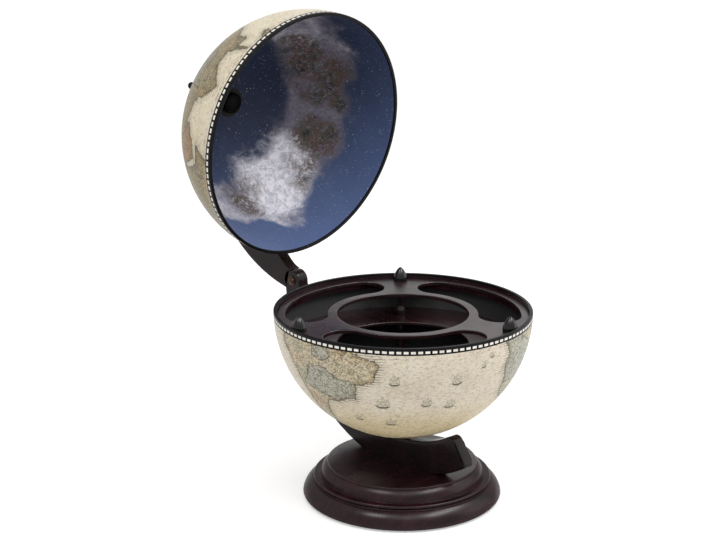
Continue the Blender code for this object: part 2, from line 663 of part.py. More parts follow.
def slot_outline(facing):
    """Kidney outline of a glass slot that faces a direction: two arcs round the axis, and round ends."""
    ends = 180.0 / SLOT_COUNT - math.degrees(math.asin((SPOKE_WIDTH / 2 + SLOT_HALF_WIDTH) / SLOT_MIDDLE))
    axis = (0.0, 0.0)
    first = facing - ends
    last = facing + ends
    return joined(
        arc(axis, SLOT_OUTER, first, last, SLOT_SIDE_STEPS),
        arc(polar(axis, SLOT_MIDDLE, last), SLOT_HALF_WIDTH, last, last + 180.0, SLOT_END_STEPS),
        arc(axis, SLOT_INNER, last, first, SLOT_SIDE_STEPS),
        arc(polar(axis, SLOT_MIDDLE, first), SLOT_HALF_WIDTH, first + 180.0, first + 360.0, SLOT_END_STEPS),
    )


def rack_ring(name, hole, radius_top, radius_low, drop, thickness, finish, parent):
    """Flat ring of the rack, whose edge leans in with the shell."""
    profile = [(hole, -drop), (radius_top, -drop), (radius_low, -drop - thickness), (hole, -drop - thickness)]
    return turned(name, profile, finish, parent)


def make_post(name, place, low, high, finish, parent):
    """Turned spacer between two levels of the rack."""
    profile = [(0.0, high), (POST_RADIUS, high), (POST_RADIUS, high - POST_FOOT),
               (POST_WAIST_RADIUS, high - 2 * POST_FOOT), (POST_WAIST_RADIUS, low + 2 * POST_FOOT),
               (POST_RADIUS, low + POST_FOOT), (POST_RADIUS, low), (0.0, low)]
    turned(name, profile, finish, parent, (*place, 0.0), steps=SMALL_TURN_STEPS // 2)


def make_peg(name, place, finish, parent):
    """Tapered peg on a tenon in the tray, which guides the lid's rim as it closes."""
    foot = -TRAY_DROP + SEAT_GAP
    shoulder = foot + PEG_SHANK
    crown = [(PEG_RADIUS * (1 - t ** PEG_TAPER) ** PEG_ROUNDING, shoulder + (PEG_RISE - shoulder) * t)
             for t in np.linspace(1.0, 0.0, ROUND_STEPS + 1)]
    tenon_end = -TRAY_DROP - TRAY_THICKNESS
    profile = crown + [(PEG_RADIUS, foot), (PEG_TENON_RADIUS, foot), (PEG_TENON_RADIUS, tenon_end),
                       (0.0, tenon_end)]
    turned(name, profile, finish, parent, (*place, 0.0), steps=SMALL_TURN_STEPS)


def make_rack(finish, peg_finish, bowl_axis):
    """Tray with its slots, glass shelf, bottle floor, and the posts and pegs on the spokes between slots."""
    tray_low = TRAY_DROP + TRAY_THICKNESS
    shelf_low = SHELF_DROP + SHELF_THICKNESS
    floor_low = FLOOR_DROP + FLOOR_THICKNESS
    tray = rack_ring("tray", WELL_RADIUS, TRAY_RADIUS, TRAY_RADIUS, TRAY_DROP, TRAY_THICKNESS,
                     finish, bowl_axis)
    rack_ring("glass_shelf", WELL_RADIUS, bore_at(SHELF_DROP) - SEAT_GAP, bore_at(shelf_low) - SEAT_GAP,
              SHELF_DROP, SHELF_THICKNESS, finish, bowl_axis)
    floor_edge = bore_at(floor_low) - SEAT_GAP
    rack_ring("bottle_floor", NUT_ACCESS_RADIUS, bore_at(FLOOR_DROP) - SEAT_GAP, floor_edge,
              FLOOR_DROP, FLOOR_THICKNESS, finish, bowl_axis)

    axis = (0.0, 0.0)
    cut_low = -tray_low - CUT_REACH
    cut_high = -TRAY_DROP + CUT_REACH
    tenon = PEG_TENON_RADIUS + SEAT_GAP
    peg_drill = [(0.0, cut_high), (tenon, cut_high), (tenon, cut_low), (0.0, cut_low)]
    pitch = 360.0 / SLOT_COUNT
    for k in range(SLOT_COUNT):
        facing = RACK_FACING + k * pitch
        slot = extruded(f"slot_cutter_{k + 1}", slot_outline(facing), cut_low, cut_high, parent=bowl_axis)
        spoke = facing + pitch / 2
        peg_place = polar(axis, PEG_CIRCLE, spoke)
        hole = turned(f"peg_drill_{k + 1}", peg_drill, parent=bowl_axis, location=(*peg_place, 0.0),
                      steps=SMALL_TURN_STEPS)
        cut(tray, slot, hole)
        make_peg(f"lid_peg_{k + 1}", peg_place, peg_finish, bowl_axis)
        make_post(f"tray_post_{k + 1}", polar(axis, SLOT_MIDDLE, spoke), -SHELF_DROP + SEAT_GAP,
                  -tray_low - SEAT_GAP, finish, bowl_axis)
        make_post(f"shelf_post_{k + 1}", polar(axis, floor_edge - POST_MARGIN - POST_RADIUS, spoke),
                  -FLOOR_DROP + SEAT_GAP, -shelf_low - SEAT_GAP, finish, bowl_axis)


def main():
    """Builds the stand, the bowl with its rack, and the open lid on its arm."""
    for obj in list(bpy.data.objects):
        bpy.data.objects.remove(obj, do_unlink=True)

    mahogany = make_material("dark_mahogany", (0.030, 0.014, 0.013), 0.28)
    black_wood = make_material("black_lacquer", (0.012, 0.011, 0.012), 0.25)
    map_paper = make_material("map_paper", (0.62, 0.54, 0.38), 0.35)
    sky_paper = make_material("sky_paper", (0.12, 0.17, 0.33), 0.35)
    felt = make_material("green_felt", (0.02, 0.06, 0.04), 0.95)
    bronze = make_material("bronze", (0.42, 0.24, 0.14), 0.35, 1.0)
    steel = make_material("steel", (0.55, 0.55, 0.56), 0.35, 1.0)

    bowl_axis = make_empty("bowl_axis", (0.0, 0.0, RIM_HEIGHT))
    hinge_axis = make_empty("hinge_axis", (0.0, HINGE_BACK, HINGE_HEIGHT), tilt=-OPEN_ANGLE)
    lid_axis = make_empty("lid_axis", (0.0, -HINGE_BACK, HINGE_DROP + CLOSED_GAP), hinge_axis)

    make_base(mahogany, felt)
    make_arm_screws(steel)
    make_lower_arm(mahogany)
    make_hinge_fittings(bronze)
    make_south_fittings(bronze, steel, bowl_axis)

    make_shell("bowl_shell", -1, map_paper, bowl_axis)
    make_bowl_rim(black_wood, bowl_axis)
    make_rack(mahogany, black_wood, bowl_axis)

    make_upper_arm(mahogany, hinge_axis, lid_axis)
    make_north_fittings(bronze, steel, mahogany, lid_axis)
    make_shell("lid_shell", 1, sky_paper, lid_axis)
    make_lid_rim(black_wood, lid_axis)


main()
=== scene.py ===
"""Looks of a tabletop globe bar: a map globe that opens at its equator, with a night sky inside its lid.

Each piece is a surface worked out with numpy in metres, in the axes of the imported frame, and rides on one of
the frame's bodies. The lid stands open, as the frame holds it at rest.
"""

import json
import logging
import math
from dataclasses import dataclass, field
from enum import Enum
from functools import reduce
from typing import NamedTuple, Sequence

import bmesh
import bpy
import numpy as np
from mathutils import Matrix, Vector


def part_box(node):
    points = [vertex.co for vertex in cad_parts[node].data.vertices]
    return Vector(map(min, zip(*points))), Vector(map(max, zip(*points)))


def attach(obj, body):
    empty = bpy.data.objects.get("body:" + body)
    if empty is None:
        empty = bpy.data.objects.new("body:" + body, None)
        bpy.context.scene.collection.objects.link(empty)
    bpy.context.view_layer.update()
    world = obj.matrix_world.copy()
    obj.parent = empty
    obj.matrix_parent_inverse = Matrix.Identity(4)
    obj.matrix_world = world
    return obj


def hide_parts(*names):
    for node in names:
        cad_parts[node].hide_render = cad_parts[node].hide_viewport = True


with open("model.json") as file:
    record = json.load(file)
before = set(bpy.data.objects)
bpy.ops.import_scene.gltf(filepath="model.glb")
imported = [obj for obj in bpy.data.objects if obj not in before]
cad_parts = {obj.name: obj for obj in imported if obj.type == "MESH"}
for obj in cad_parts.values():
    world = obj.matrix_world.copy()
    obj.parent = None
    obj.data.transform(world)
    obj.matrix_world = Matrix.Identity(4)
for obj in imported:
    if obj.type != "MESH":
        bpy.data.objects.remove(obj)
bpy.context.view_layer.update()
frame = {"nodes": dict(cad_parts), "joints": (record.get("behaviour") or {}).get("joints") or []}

LOG = logging.getLogger("globe_bar")

Array = np.ndarray
Pair = tuple[float, float]
Triple = tuple[float, float, float]
Point = Sequence[float]
Colour = Triple
Material = bpy.types.Material
Socket = bpy.types.NodeSocket

MERGE_DISTANCE = 1e-6
TINY = 1e-12
FULL_TURN = 360.0
HALF_TURN = 180.0
QUARTER_TURN = 90.0

# The map of the lid is turned by this angle from that of the bowl, in degrees.
LID_TURN = -138.7

# A rounded corner takes up at most this share of its shorter side.
CORNER_SHARE = 0.45

# Near a hinge a board's edge has this share of its rounding, which grows back by this many seats away.
CRISP_SHARE = 1 / 6
CRISP_FADE = 1.5

# Keeps the inset of a sharp corner of a board short.
MITRE_LIMIT = 0.4

# Fractal noise lies mostly in this range, about this middle.
NOISE_RANGE = (0.3, 0.7)
NOISE_MIDDLE = 0.5
WARP_DETAIL = 4.0

# Sockets of a mix of colours, by number because several have the same name.
MIX_SHARE = 0
MIX_UNDER = 6
MIX_OVER = 7
MIX_RESULT = 2

# Gap in metres between a piece and its seat.
SEAT_GAP = 0.0003

# A height in metres that no piece reaches.
OUT_OF_REACH = 10.0

WHITE = (1.0, 1.0, 1.0)


class Body(Enum):
    """Bodies of the frame that a piece can ride on."""

    BASE = "base"
    BOWL = "bowl"
    UPPER_ARM = "upper_arm"
    LID = "lid"


class Slot(Enum):
    """Material slots of the record."""

    DARK_WOOD = "dark_wood"
    MAP_BOARD = "map_board"
    SKY_BOARD = "sky_board"
    BLACK_RIM = "black_rim"
    PEG_BLACK = "peg_black"
    FELT = "felt"
    BRONZE = "bronze"
    STEEL = "steel"


class Half(Enum):
    """Half of the globe, as the side of the equator that its depths count towards."""

    SOUTH = -1
    NORTH = 1


# Places and curves


@dataclass(frozen=True)
class Axes:
    """A place and three directions, in the frame, that a piece is worked out in."""

    origin: Array
    x: Array
    y: Array
    z: Array

    def at(self, local: Array) -> Array:
        """Origin plus each coordinate times its direction."""
        return self.origin + local @ np.stack([self.x, self.y, self.z])

    def moved(self, local: Point) -> "Axes":
        """The same directions at another place, given along these axes."""
        return Axes(self.at(np.asarray(local, float)), self.x, self.y, self.z)


WORLD = Axes(np.zeros(3), *np.eye(3))


def joint_of(name: str) -> dict:
    """Joint of the frame with that name."""
    return next(joint for joint in frame["joints"] if joint["name"] == name)


def pole_axes(joint_name: str) -> Axes:
    """Axes of a half globe, from the joint it spins on.

    Args:
        joint_name: Joint that turns the half about its pole.

    Returns:
        Axes with their origin at the half's centre, z along the pole and x across the arm's board.
    """
    joint = joint_of(joint_name)
    across = np.array([1.0, 0.0, 0.0])
    pole = np.asarray(joint["axis"], float)
    pole = pole / np.linalg.norm(pole)
    return Axes(np.asarray(joint["pos_m"], float), across, np.cross(pole, across), pole)


def hinge_axes(tilt_of: Axes) -> Axes:
    """Axes at the hinge's pivot, turned as the half globe whose arm they carry."""
    return Axes(np.asarray(joint_of("lid_hinge")["pos_m"], float), tilt_of.x, tilt_of.y, tilt_of.z)


def span(node: str) -> Array:
    """Size of a node's box along X, Y and Z."""
    low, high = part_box(node)
    return np.asarray(high - low)


def pairs(first: Array, second: Array) -> Array:
    """Points of the plane with these coordinates."""
    return np.stack([first, second], axis=-1)


def polar(radius: float, degrees: float | Array) -> Array:
    """Points at a radius and directions in degrees: radius times cosine and sine."""
    turn = np.radians(degrees)
    return radius * pairs(np.cos(turn), np.sin(turn))


def heading(vector: Array) -> float:
    """Direction of a vector of the plane in degrees: the arc tangent of its coordinates."""
    return math.degrees(math.atan2(vector[1], vector[0]))


def arc(centre: Point, radius: float, start: float, end: float, count: int) -> Array:
    """Points of a circle.

    Args:
        centre: Middle of the circle.
        radius: Its radius.
        start: First direction in degrees.
        end: Last direction in degrees.
        count: Number of points.

    Returns:
        Centre plus radius times cosine and sine of evenly spaced directions.
    """
    return np.asarray(centre, float) + polar(radius, np.linspace(start, end, count))


def bulge(start: Point, end: Point, radius: float, count: int) -> Array:
    """Points of a convex arc of a radius from one point down and out to another.

    The centre lies on the line that halves the chord at right angles, inward of it, at the radius from
    both ends.

    Args:
        start: Upper end.
        end: Lower end.
        radius: Radius of the arc.
        count: Number of points.

    Returns:
        The points from start to end.
    """
    first, last = np.asarray(start, float), np.asarray(end, float)
    chord = last - first
    length = float(np.hypot(*chord))
    centre = (first + last) / 2 + math.sqrt((radius / length) ** 2 - 0.25) * chord[::-1] * (1, -1)
    return arc(centre, radius, heading(first - centre), heading(last - centre), count)


def softened(corners: Sequence[Point], radius: float, count: int = 6, ring: bool = False) -> Array:
    """Outline with its corners rounded.

    Each corner C becomes the quadratic curve (1-t)^2 A + 2t(1-t) C + t^2 B, where A and B lie on the two
    sides at the given reach from C, or at a share of the shorter side where that is less.

    Args:
        corners: Points of the outline.
        radius: Reach of the rounding along each side.
        count: Points of each rounded corner.
        ring: Whether the outline closes on itself.

    Returns:
        The points of the rounded outline; a ring ends where it starts.
    """
    points = np.asarray(corners, float)
    if ring:
        points = np.vstack([points[-1:], points, points[:1]])
    middle = points[1:-1]
    back = points[:-2] - middle
    ahead = points[2:] - middle
    back_length = np.linalg.norm(back, axis=1, keepdims=True)
    ahead_length = np.linalg.norm(ahead, axis=1, keepdims=True)
    reach = np.minimum(radius, CORNER_SHARE * np.minimum(back_length, ahead_length))
    start = (middle + back / back_length * reach)[:, None]
    finish = (middle + ahead / ahead_length * reach)[:, None]
    t = np.linspace(0.0, 1.0, count)[:, None]
    curve = (1 - t) ** 2 * start + 2 * t * (1 - t) * middle[:, None] + t ** 2 * finish
    curve = curve.reshape(-1, 2)
    if ring:
        return np.vstack([curve, curve[:1]])
    return np.vstack([points[:1], curve, points[-1:]])


def ruled(first: Array, last: Array, count: int = 2) -> Array:
    """Grid of straight rows from each point of a curve to its partner on another: first (1-s) + last s."""
    share = np.linspace(0.0, 1.0, count)[None, :, None]
    return first[:, None] * (1 - share) + last[:, None] * share


def smooth(t: Array) -> Array:
    """Smooth step t^2 (3 - 2t), which is level at 0 and at 1."""
    return t * t * (3 - 2 * t)


def depth_radius(radius: float, depth: float | Array) -> float | Array:
    """Radius of a sphere's level at a depth from its equator: the square root of R^2 - depth^2."""
    return np.sqrt(radius ** 2 - depth ** 2)


def eased(start: Point, end: Point, count: int = 10) -> Array:
    """S-shaped curve of a turned profile.

    Heights run evenly from start to end, and radii follow the smooth step.
    """
    t = np.linspace(0.0, 1.0, count)
    return pairs(start[0] + (end[0] - start[0]) * smooth(t), start[1] + (end[1] - start[1]) * t)


def turned(axes: Axes, profile: Array, turns: int | Array = 128) -> Array:
    """Surface of revolution about the axes' z.

    The point at turn u and profile step v is (radius(v) cos u, radius(v) sin u, height(v)).

    Args:
        axes: Place and direction of the turning axis.
        profile: Radii and heights.
        turns: Number of even steps round, or the directions in degrees.

    Returns:
        Grid of points, turn by profile step, without the closing turn.
    """
    if isinstance(turns, int):
        turns = np.linspace(0.0, FULL_TURN, turns, endpoint=False)
    u = np.radians(turns)[:, None]
    profile = np.asarray(profile, float)
    radius = profile[None, :, 0]
    height = np.broadcast_to(profile[None, :, 1], (len(u), len(profile)))
    return axes.at(np.stack([radius * np.cos(u), radius * np.sin(u), height], axis=-1))


# Meshes


@dataclass
class Workpiece:
    """Mesh of one piece, put together from grids of points.

    Two vector attributes can follow the surface: globe, the direction from the globe's centre, and chart,
    which holds the degrees to the coast, the degrees to a realm's border and the tint of the land.
    """

    points: list[Array] = field(default_factory=list)
    quads: list[Array] = field(default_factory=list)
    finish_of: list[Array] = field(default_factory=list)
    globe: list[Array] = field(default_factory=list)
    chart: list[Array] = field(default_factory=list)
    count: int = 0
    mapped: bool = False

    def add(self, grid: Array, finish: int | Array = 0, around: bool = False, globe: Array | None = None,
            chart: Array | None = None) -> None:
        """Adds a grid of quads.

        Args:
            grid: Points, rows by columns by 3.
            finish: Index of the finish of all its faces, or one index for each face.
            around: Whether the last row joins the first.
            globe: Directions from the globe's centre, one for each point.
            chart: Coast distance, border distance and tint, one of each for each point.
        """
        rows, columns = grid.shape[:2]
        index = self.count + np.arange(rows * columns).reshape(rows, columns)
        if around:
            index = np.vstack([index, index[:1]])
        quads = np.stack([index[:-1, :-1], index[1:, :-1], index[1:, 1:], index[:-1, 1:]], axis=-1)
        self.points.append(grid.reshape(-1, 3))
        self.quads.append(quads.reshape(-1, 4))
        self.finish_of.append(np.broadcast_to(finish, quads.shape[:2]).ravel())
        blank = np.zeros((rows * columns, 3))
        self.globe.append(blank if globe is None else globe.reshape(-1, 3))
        self.chart.append(blank if chart is None else chart.reshape(-1, 3))
        self.mapped = self.mapped or globe is not None
        self.count += rows * columns

    def done(self, name: str, finishes: Sequence[Material], body: Body,
             stands_for: Sequence[str] = (), crease: float = 40.0, solid: bool = True) -> None:
        """Turns the grids into an object of the scene that rides on a body.

        Args:
            name: Name of the piece.
            finishes: Materials that the face indices count through.
            body: Body that it moves with.
            stands_for: Nodes of the frame that it replaces.
            crease: Angle in degrees over which an edge stays sharp.
            solid: Whether it is a closed solid, whose faces are turned outwards.
        """
        mesh = bpy.data.meshes.new(name)
        mesh.from_pydata(np.concatenate(self.points).tolist(), [], np.concatenate(self.quads).tolist())
        mesh.polygons.foreach_set("material_index", np.concatenate(self.finish_of).astype(np.int32))
        if self.mapped:
            for label, values in (("globe", self.globe), ("chart", self.chart)):
                layer = mesh.attributes.new(label, "FLOAT_VECTOR", "POINT")
                layer.data.foreach_set("vector", np.concatenate(values).astype(np.float32).ravel())
        for finish in finishes:
            mesh.materials.append(finish)
        bm = bmesh.new()
        bm.from_mesh(mesh)
        bmesh.ops.remove_doubles(bm, verts=bm.verts, dist=MERGE_DISTANCE)
        if solid:
            bmesh.ops.recalc_face_normals(bm, faces=bm.faces)
        bm.to_mesh(mesh)
        bm.free()
        mesh.shade_smooth()
        mesh.set_sharp_from_angle(angle=math.radians(crease))
        piece = bpy.data.objects.new(name, mesh)
        bpy.context.scene.collection.objects.link(piece)
        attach(piece, body.value)
        if stands_for:
            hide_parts(*stands_for)
        LOG.info("%s: %d faces on %s", name, len(mesh.polygons), body.value)


def turned_piece(name: str, axes: Axes, profile: Array, finish: Material, body: Body,
                 turns: int = 128) -> None:
    """Turned solid that stands for the node of the same name.

    Args:
        name: Name of the node; the piece is called after it.
        axes: Axes whose z it is turned about.
        profile: Radii and heights, from axis to axis or closed as a ring.
        finish: Its material.
        body: Body that it moves with.
        turns: Steps round.
    """
    piece = Workpiece()
    piece.add(turned(axes, profile, turns), around=True)
    piece.done(f"{name}_look", [finish], body, [name])


def board(piece: Workpiece, axes: Axes, plan: Array, low: float, high: float, round_low: float,
          round_high: float, crisp_within: float, steps: int = 5) -> None:
    """Adds a flat board to a workpiece, with its outer edges rounded.

    The plan gives both flat faces. Round its outline runs a strip whose points move in along the outline's
    normal by r (1 - cos t) as they move across by r (1 - sin t), a quarter circle at each face. Near the
    plan's origin, where two boards meet in a hinge, r shrinks.

    Args:
        piece: Workpiece that takes the grids.
        axes: Axes with x across the board and y and z in its plane.
        plan: Grid of points in the plane, rows by columns by 2.
        low: Place of one face across the board.
        high: Place of the other face.
        round_low: Radius of the edge at the low face.
        round_high: Radius of the edge at the high face.
        crisp_within: Distance from the origin up to which edges are crisp.
        steps: Points of each rounded edge.
    """
    rows, columns = plan.shape[:2]
    row = np.arange(rows)
    column = np.arange(columns)
    loop_rows = np.concatenate([row, np.full(columns - 1, rows - 1), row[-2::-1], np.zeros(columns - 2, int)])
    loop_columns = np.concatenate([np.zeros(rows, int), column[1:], np.full(rows - 1, columns - 1),
                                   column[-2:0:-1]])
    loop = plan[loop_rows, loop_columns]
    side = np.roll(loop, -1, axis=0) - loop
    side = side / np.linalg.norm(side, axis=1, keepdims=True)
    area = np.sum(loop[:, 0] * np.roll(loop[:, 1], -1) - loop[:, 1] * np.roll(loop[:, 0], -1))
    inward = pairs(-side[:, 1], side[:, 0]) * np.sign(area)
    normal = inward + np.roll(inward, 1, axis=0)
    normal = normal / np.maximum(np.sum(normal ** 2, axis=1, keepdims=True) / 2, MITRE_LIMIT)
    crisp_range = [crisp_within, CRISP_FADE * crisp_within]
    softness = np.interp(np.linalg.norm(loop, axis=1), crisp_range, [CRISP_SHARE, 1.0])[:, None]

    t = np.linspace(0.0, math.pi / 2, steps)
    inset = softness * np.concatenate([round_low * (1 - np.sin(t)), round_high * (1 - np.cos(t))])
    across = np.concatenate([low + softness * round_low * (1 - np.cos(t)),
                             high - softness * round_high * (1 - np.sin(t))], axis=1)
    strip = loop[:, None] + normal[:, None] * inset[..., None]
    piece.add(axes.at(np.concatenate([across[..., None], strip], axis=-1)), around=True)
    for place, radius in ((low, round_low), (high, round_high)):
        face = plan.copy()
        face[loop_rows, loop_columns] = loop + normal * radius * softness
        flat = np.concatenate([np.full((rows, columns, 1), place), face], axis=-1)
        piece.add(axes.at(flat))


# Map of the lands


@dataclass(frozen=True)
class Land:
    """A land of the map: its outline in degrees east and north, and its tint from ochre (0) to olive (1)."""

    outline: Sequence[Pair]
    tint: float


LANDS = (
    Land(((-77, 8), (-72, 12), (-62, 11), (-53, 5), (-50, -1), (-44, -3.5), (-36, -6), (-35, -9), (-38, -16),
          (-44, -19), (-46, -26), (-53, -28.5), (-59, -30), (-61, -34), (-64, -39), (-66, -46), (-68, -52),
          (-66, -55), (-72, -53), (-74, -46), (-72, -32), (-74, -22), (-77, -14), (-81, -6), (-79, 2)), 0.45),
    Land(((-6, 35.5), (10, 37), (11, 33), (20, 31), (32, 31), (38, 19), (43, 11.5), (51, 12), (46, 3),
          (40, -4), (40.5, -14), (35, -21), (32, -28), (26, -34), (19, -34.5), (15, -27), (12, -17),
          (13, -8), (9, -1), (9, 4.5), (-4, 5), (-9, 4.5), (-14, 10), (-17, 15), (-16, 22), (-10, 30)), 0.85),
    Land(((-166, 62), (-160, 70), (-128, 70), (-95, 71), (-82, 67), (-93, 60), (-80, 52), (-77, 60),
          (-65, 60), (-56, 52), (-66, 45), (-75, 38), (-81, 31), (-80, 26), (-83, 29), (-96, 29),
          (-97, 20), (-88, 21), (-84, 13), (-78, 8), (-87, 12), (-96, 15), (-106, 21), (-114, 30),
          (-124, 40), (-125, 49), (-140, 60)), 0.30),
    Land(((-9, 43), (-2, 48), (8, 54), (11, 58), (21, 55), (28, 60), (17, 62), (6, 60), (16, 68), (30, 70),
          (60, 69), (80, 73), (105, 77), (140, 72), (178, 67), (163, 58), (142, 58), (139, 48), (128, 40),
          (121, 37), (121, 28), (108, 19), (108, 11), (101, 13), (103, 2), (97, 16), (89, 17), (78, 8),
          (72, 15), (68, 22), (58, 25), (49, 30), (36, 31), (36, 36), (26, 38), (22, 37), (13, 45),
          (17, 39), (9, 44), (-1, 37), (-9, 37)), 0.72),
    Land(((36, 29), (40, 21), (44, 13), (52, 16), (59, 21), (56, 25), (48, 31)), -0.20),
    Land(((114, -22), (122, -17), (132, -11), (141, -17), (143, -11), (153, -26), (149, -38), (138, -35),
          (129, -32), (115, -34)), 0.15),
    Land(((-44, 60), (-22, 70), (-25, 82), (-60, 82), (-53, 68)), 0.60),
    Land(((49, -13), (50, -17), (46, -25), (44, -19)), 0.20),
    Land(((-5, 50), (1, 52), (-3, 58), (-6, 56)), 0.10),
    Land(((131, 32), (141, 36), (143, 43), (138, 37)), 0.55),
    Land(((109, 2), (117, 6), (116, -3), (110, -2)), 0.80),
    Land(((132, -2), (142, -3), (149, -9), (140, -8)), 0.75),
    Land(((-84, 22), (-75, 20), (-71, 18), (-77, 21)), 0.05),
)

# Outlines of the realms that are tinted within the lands, in degrees east and north
REALMS = (
    ((-65, -12), (-57, -12.5), (-52, -16.5), (-44, -18), (-45, -27), (-55, -29), (-62, -27), (-72, -24),
     (-67, -18)),
    ((-63, -3), (-56, -3), (-54, -7), (-58, -10), (-63, -8)),
    ((8, -2), (20, -3), (31, -8), (36, -18), (29, -25), (14, -24), (7, -14)),
    ((-20, 12), (-4, 10), (8, 13), (14, 22), (4, 30), (-14, 27)),
    ((-108, 33), (-90, 31), (-80, 36), (-74, 46), (-86, 52), (-104, 47)),
    ((-108, 14), (-92, 15), (-95, 25), (-108, 27)),
    ((20, 46), (44, 44), (66, 52), (62, 64), (34, 64)),
    ((74, 24), (96, 26), (112, 34), (98, 46), (76, 40)),
    ((118, -36), (130, -34), (134, -22), (122, -17)),
)


@dataclass(frozen=True)
class Atlas:
    """Where the lands lie on the globe.

    Longitudes count from the meridian that faces the viewer when the globe is at rest. As on old maps, the
    western ocean is drawn wider than it is: the lists pair true longitudes with those on the globe.
    """

    facing: float
    true_longitudes: Point = (-280, -80, -35, 12, 50, 80, 280)
    globe_longitudes: Point = (-236, -64, -12, 51, 92, 124, 296)
    southern_coast: float = -67.0
    southern_tint: float = 0.05
    southern_waves: Sequence[Triple] = ((3.5, 2.0, 1.0), (2.0, 5.0, 0.0))

    def meridian(self) -> tuple[Array, Array]:
        """Level directions of the map.

        Returns:
            Unit vectors to the facing meridian and to the east.
        """
        turn = math.radians(self.facing)
        ahead = np.array([math.sin(turn), -math.cos(turn), 0.0])
        east = np.array([math.cos(turn), math.sin(turn), 0.0])
        return ahead, east

    def direction(self, longitude: Array, latitude: Array) -> Array:
        """Unit direction: cosines of the latitude along meridian and east, and its sine along the pole.

        Args:
            longitude: Degrees east of the facing meridian.
            latitude: Degrees north.

        Returns:
            Directions from the globe's centre.
        """
        ahead, east = self.meridian()
        turn = np.radians(longitude)[..., None]
        rise = np.radians(latitude)[..., None]
        level = np.cos(turn) * ahead + np.sin(turn) * east
        return np.cos(rise) * level + np.sin(rise) * np.array([0.0, 0.0, 1.0])

    def chart(self, direction: Array) -> Array:
        """Coast distance, border distance and tint at directions from the globe's centre.

        A point's distance to a side of an outline is that to its nearest point on the side, with longitudes
        shrunk by the cosine of the point's latitude. It counts as inside where a line to the east crosses an
        odd number of sides. The southern land's coast is a sum of waves round the pole.

        Args:
            direction: Unit directions, in any array ending in 3.

        Returns:
            Array of the same shape, with the three values of the chart.
        """
        ahead, east = self.meridian()
        longitude = np.degrees(np.arctan2(direction @ east, direction @ ahead))
        latitude = np.degrees(np.arcsin(np.clip(direction[..., 2], -1.0, 1.0)))
        turn = np.radians(longitude)
        best = self.southern_coast - latitude
        for reach, waves, phase in self.southern_waves:
            best = best + reach * np.sin(waves * turn + phase)
        tint = np.full_like(best, self.southern_tint)
        for land in LANDS:
            coast = self.depth_inside(land.outline, longitude, latitude)
            tint = np.where(coast > best, land.tint, tint)
            best = np.maximum(best, coast)
        border = np.max([self.depth_inside(outline, longitude, latitude) for outline in REALMS], axis=0)
        return np.stack([best, border, tint], axis=-1)

    def depth_inside(self, outline: Sequence[Pair], longitude: Array, latitude: Array) -> Array:
        """Degrees from an outline, positive inside it; see chart for the formula.

        Args:
            outline: Corners in true degrees east and north.
            longitude: Degrees east of the facing meridian.
            latitude: Degrees north.

        Returns:
            Signed distances in degrees.
        """
        corners = np.asarray(outline, float)
        x = np.interp(corners[:, 0], self.true_longitudes, self.globe_longitudes)
        middle = (x.min() + x.max()) / 2
        px = ((longitude - middle + HALF_TURN) % FULL_TURN - HALF_TURN)[..., None]
        py = latitude[..., None]
        ax = x - middle
        ay = corners[:, 1]
        bx = np.roll(ax, -1)
        by = np.roll(ay, -1)
        shrink = np.cos(np.radians(py))
        sx = (bx - ax) * shrink
        sy = by - ay
        qx = (px - ax) * shrink
        qy = py - ay
        t = np.clip((qx * sx + qy * sy) / (sx ** 2 + sy ** 2 + TINY), 0.0, 1.0)
        distance = np.sqrt(np.min((qx - t * sx) ** 2 + (qy - t * sy) ** 2, axis=-1))
        rising = (ay > py) != (by > py)
        crossing = ax + (bx - ax) * (py - ay) / np.where(by == ay, TINY, by - ay)
        inside = np.sum(rising & (px < crossing), axis=-1) % 2 == 1
        return np.where(inside, distance, -distance)


# Finishes


class Noise(NamedTuple):
    """Fractal noise: how fine it is, its octaves, how rough they make it and how far it is distorted."""

    scale: float
    detail: float = 4.0
    roughness: float = 0.55
    distortion: float = 0.0


class Fade(NamedTuple):
    """Smooth step from low at start to high at end; start may lie above end."""

    start: float
    end: float
    low: float = 0.0
    high: float = 1.0


@dataclass(frozen=True)
class Shade:
    """A value that varies over a surface: a socket of a node tree, with arithmetic that adds nodes to it."""

    sheet: "NodeSheet"
    socket: Socket

    def __add__(self, other: "Shade | float") -> "Shade":
        """Sum of two values."""
        return self.sheet.step("ADD", self, other)

    def __sub__(self, other: "Shade | float") -> "Shade":
        """Difference of two values."""
        return self.sheet.step("SUBTRACT", self, other)

    def __mul__(self, other: "Shade | float") -> "Shade":
        """Product of two values."""
        return self.sheet.step("MULTIPLY", self, other)

    def __abs__(self) -> "Shade":
        """Size of the value without its sign."""
        return self.sheet.step("ABSOLUTE", self)

    def larger(self, other: "Shade | float") -> "Shade":
        """The larger of two values."""
        return self.sheet.step("MAXIMUM", self, other)

    def fade(self, fade: Fade) -> "Shade":
        """Smooth step of the value.

        Args:
            fade: Where it starts and ends, and its values there.

        Returns:
            The stepped value.
        """
        inputs = dict(zip(("Value", "From Min", "From Max", "To Min", "To Max"), (self, *fade)))
        node = self.sheet.node("ShaderNodeMapRange", inputs, interpolation_type="SMOOTHSTEP")
        return Shade(self.sheet, node.outputs[0])

    def between(self, low: float, high: float) -> "Shade":
        """Noise brought from its usual range to values from low to high."""
        return self.fade(Fade(*NOISE_RANGE, low, high))


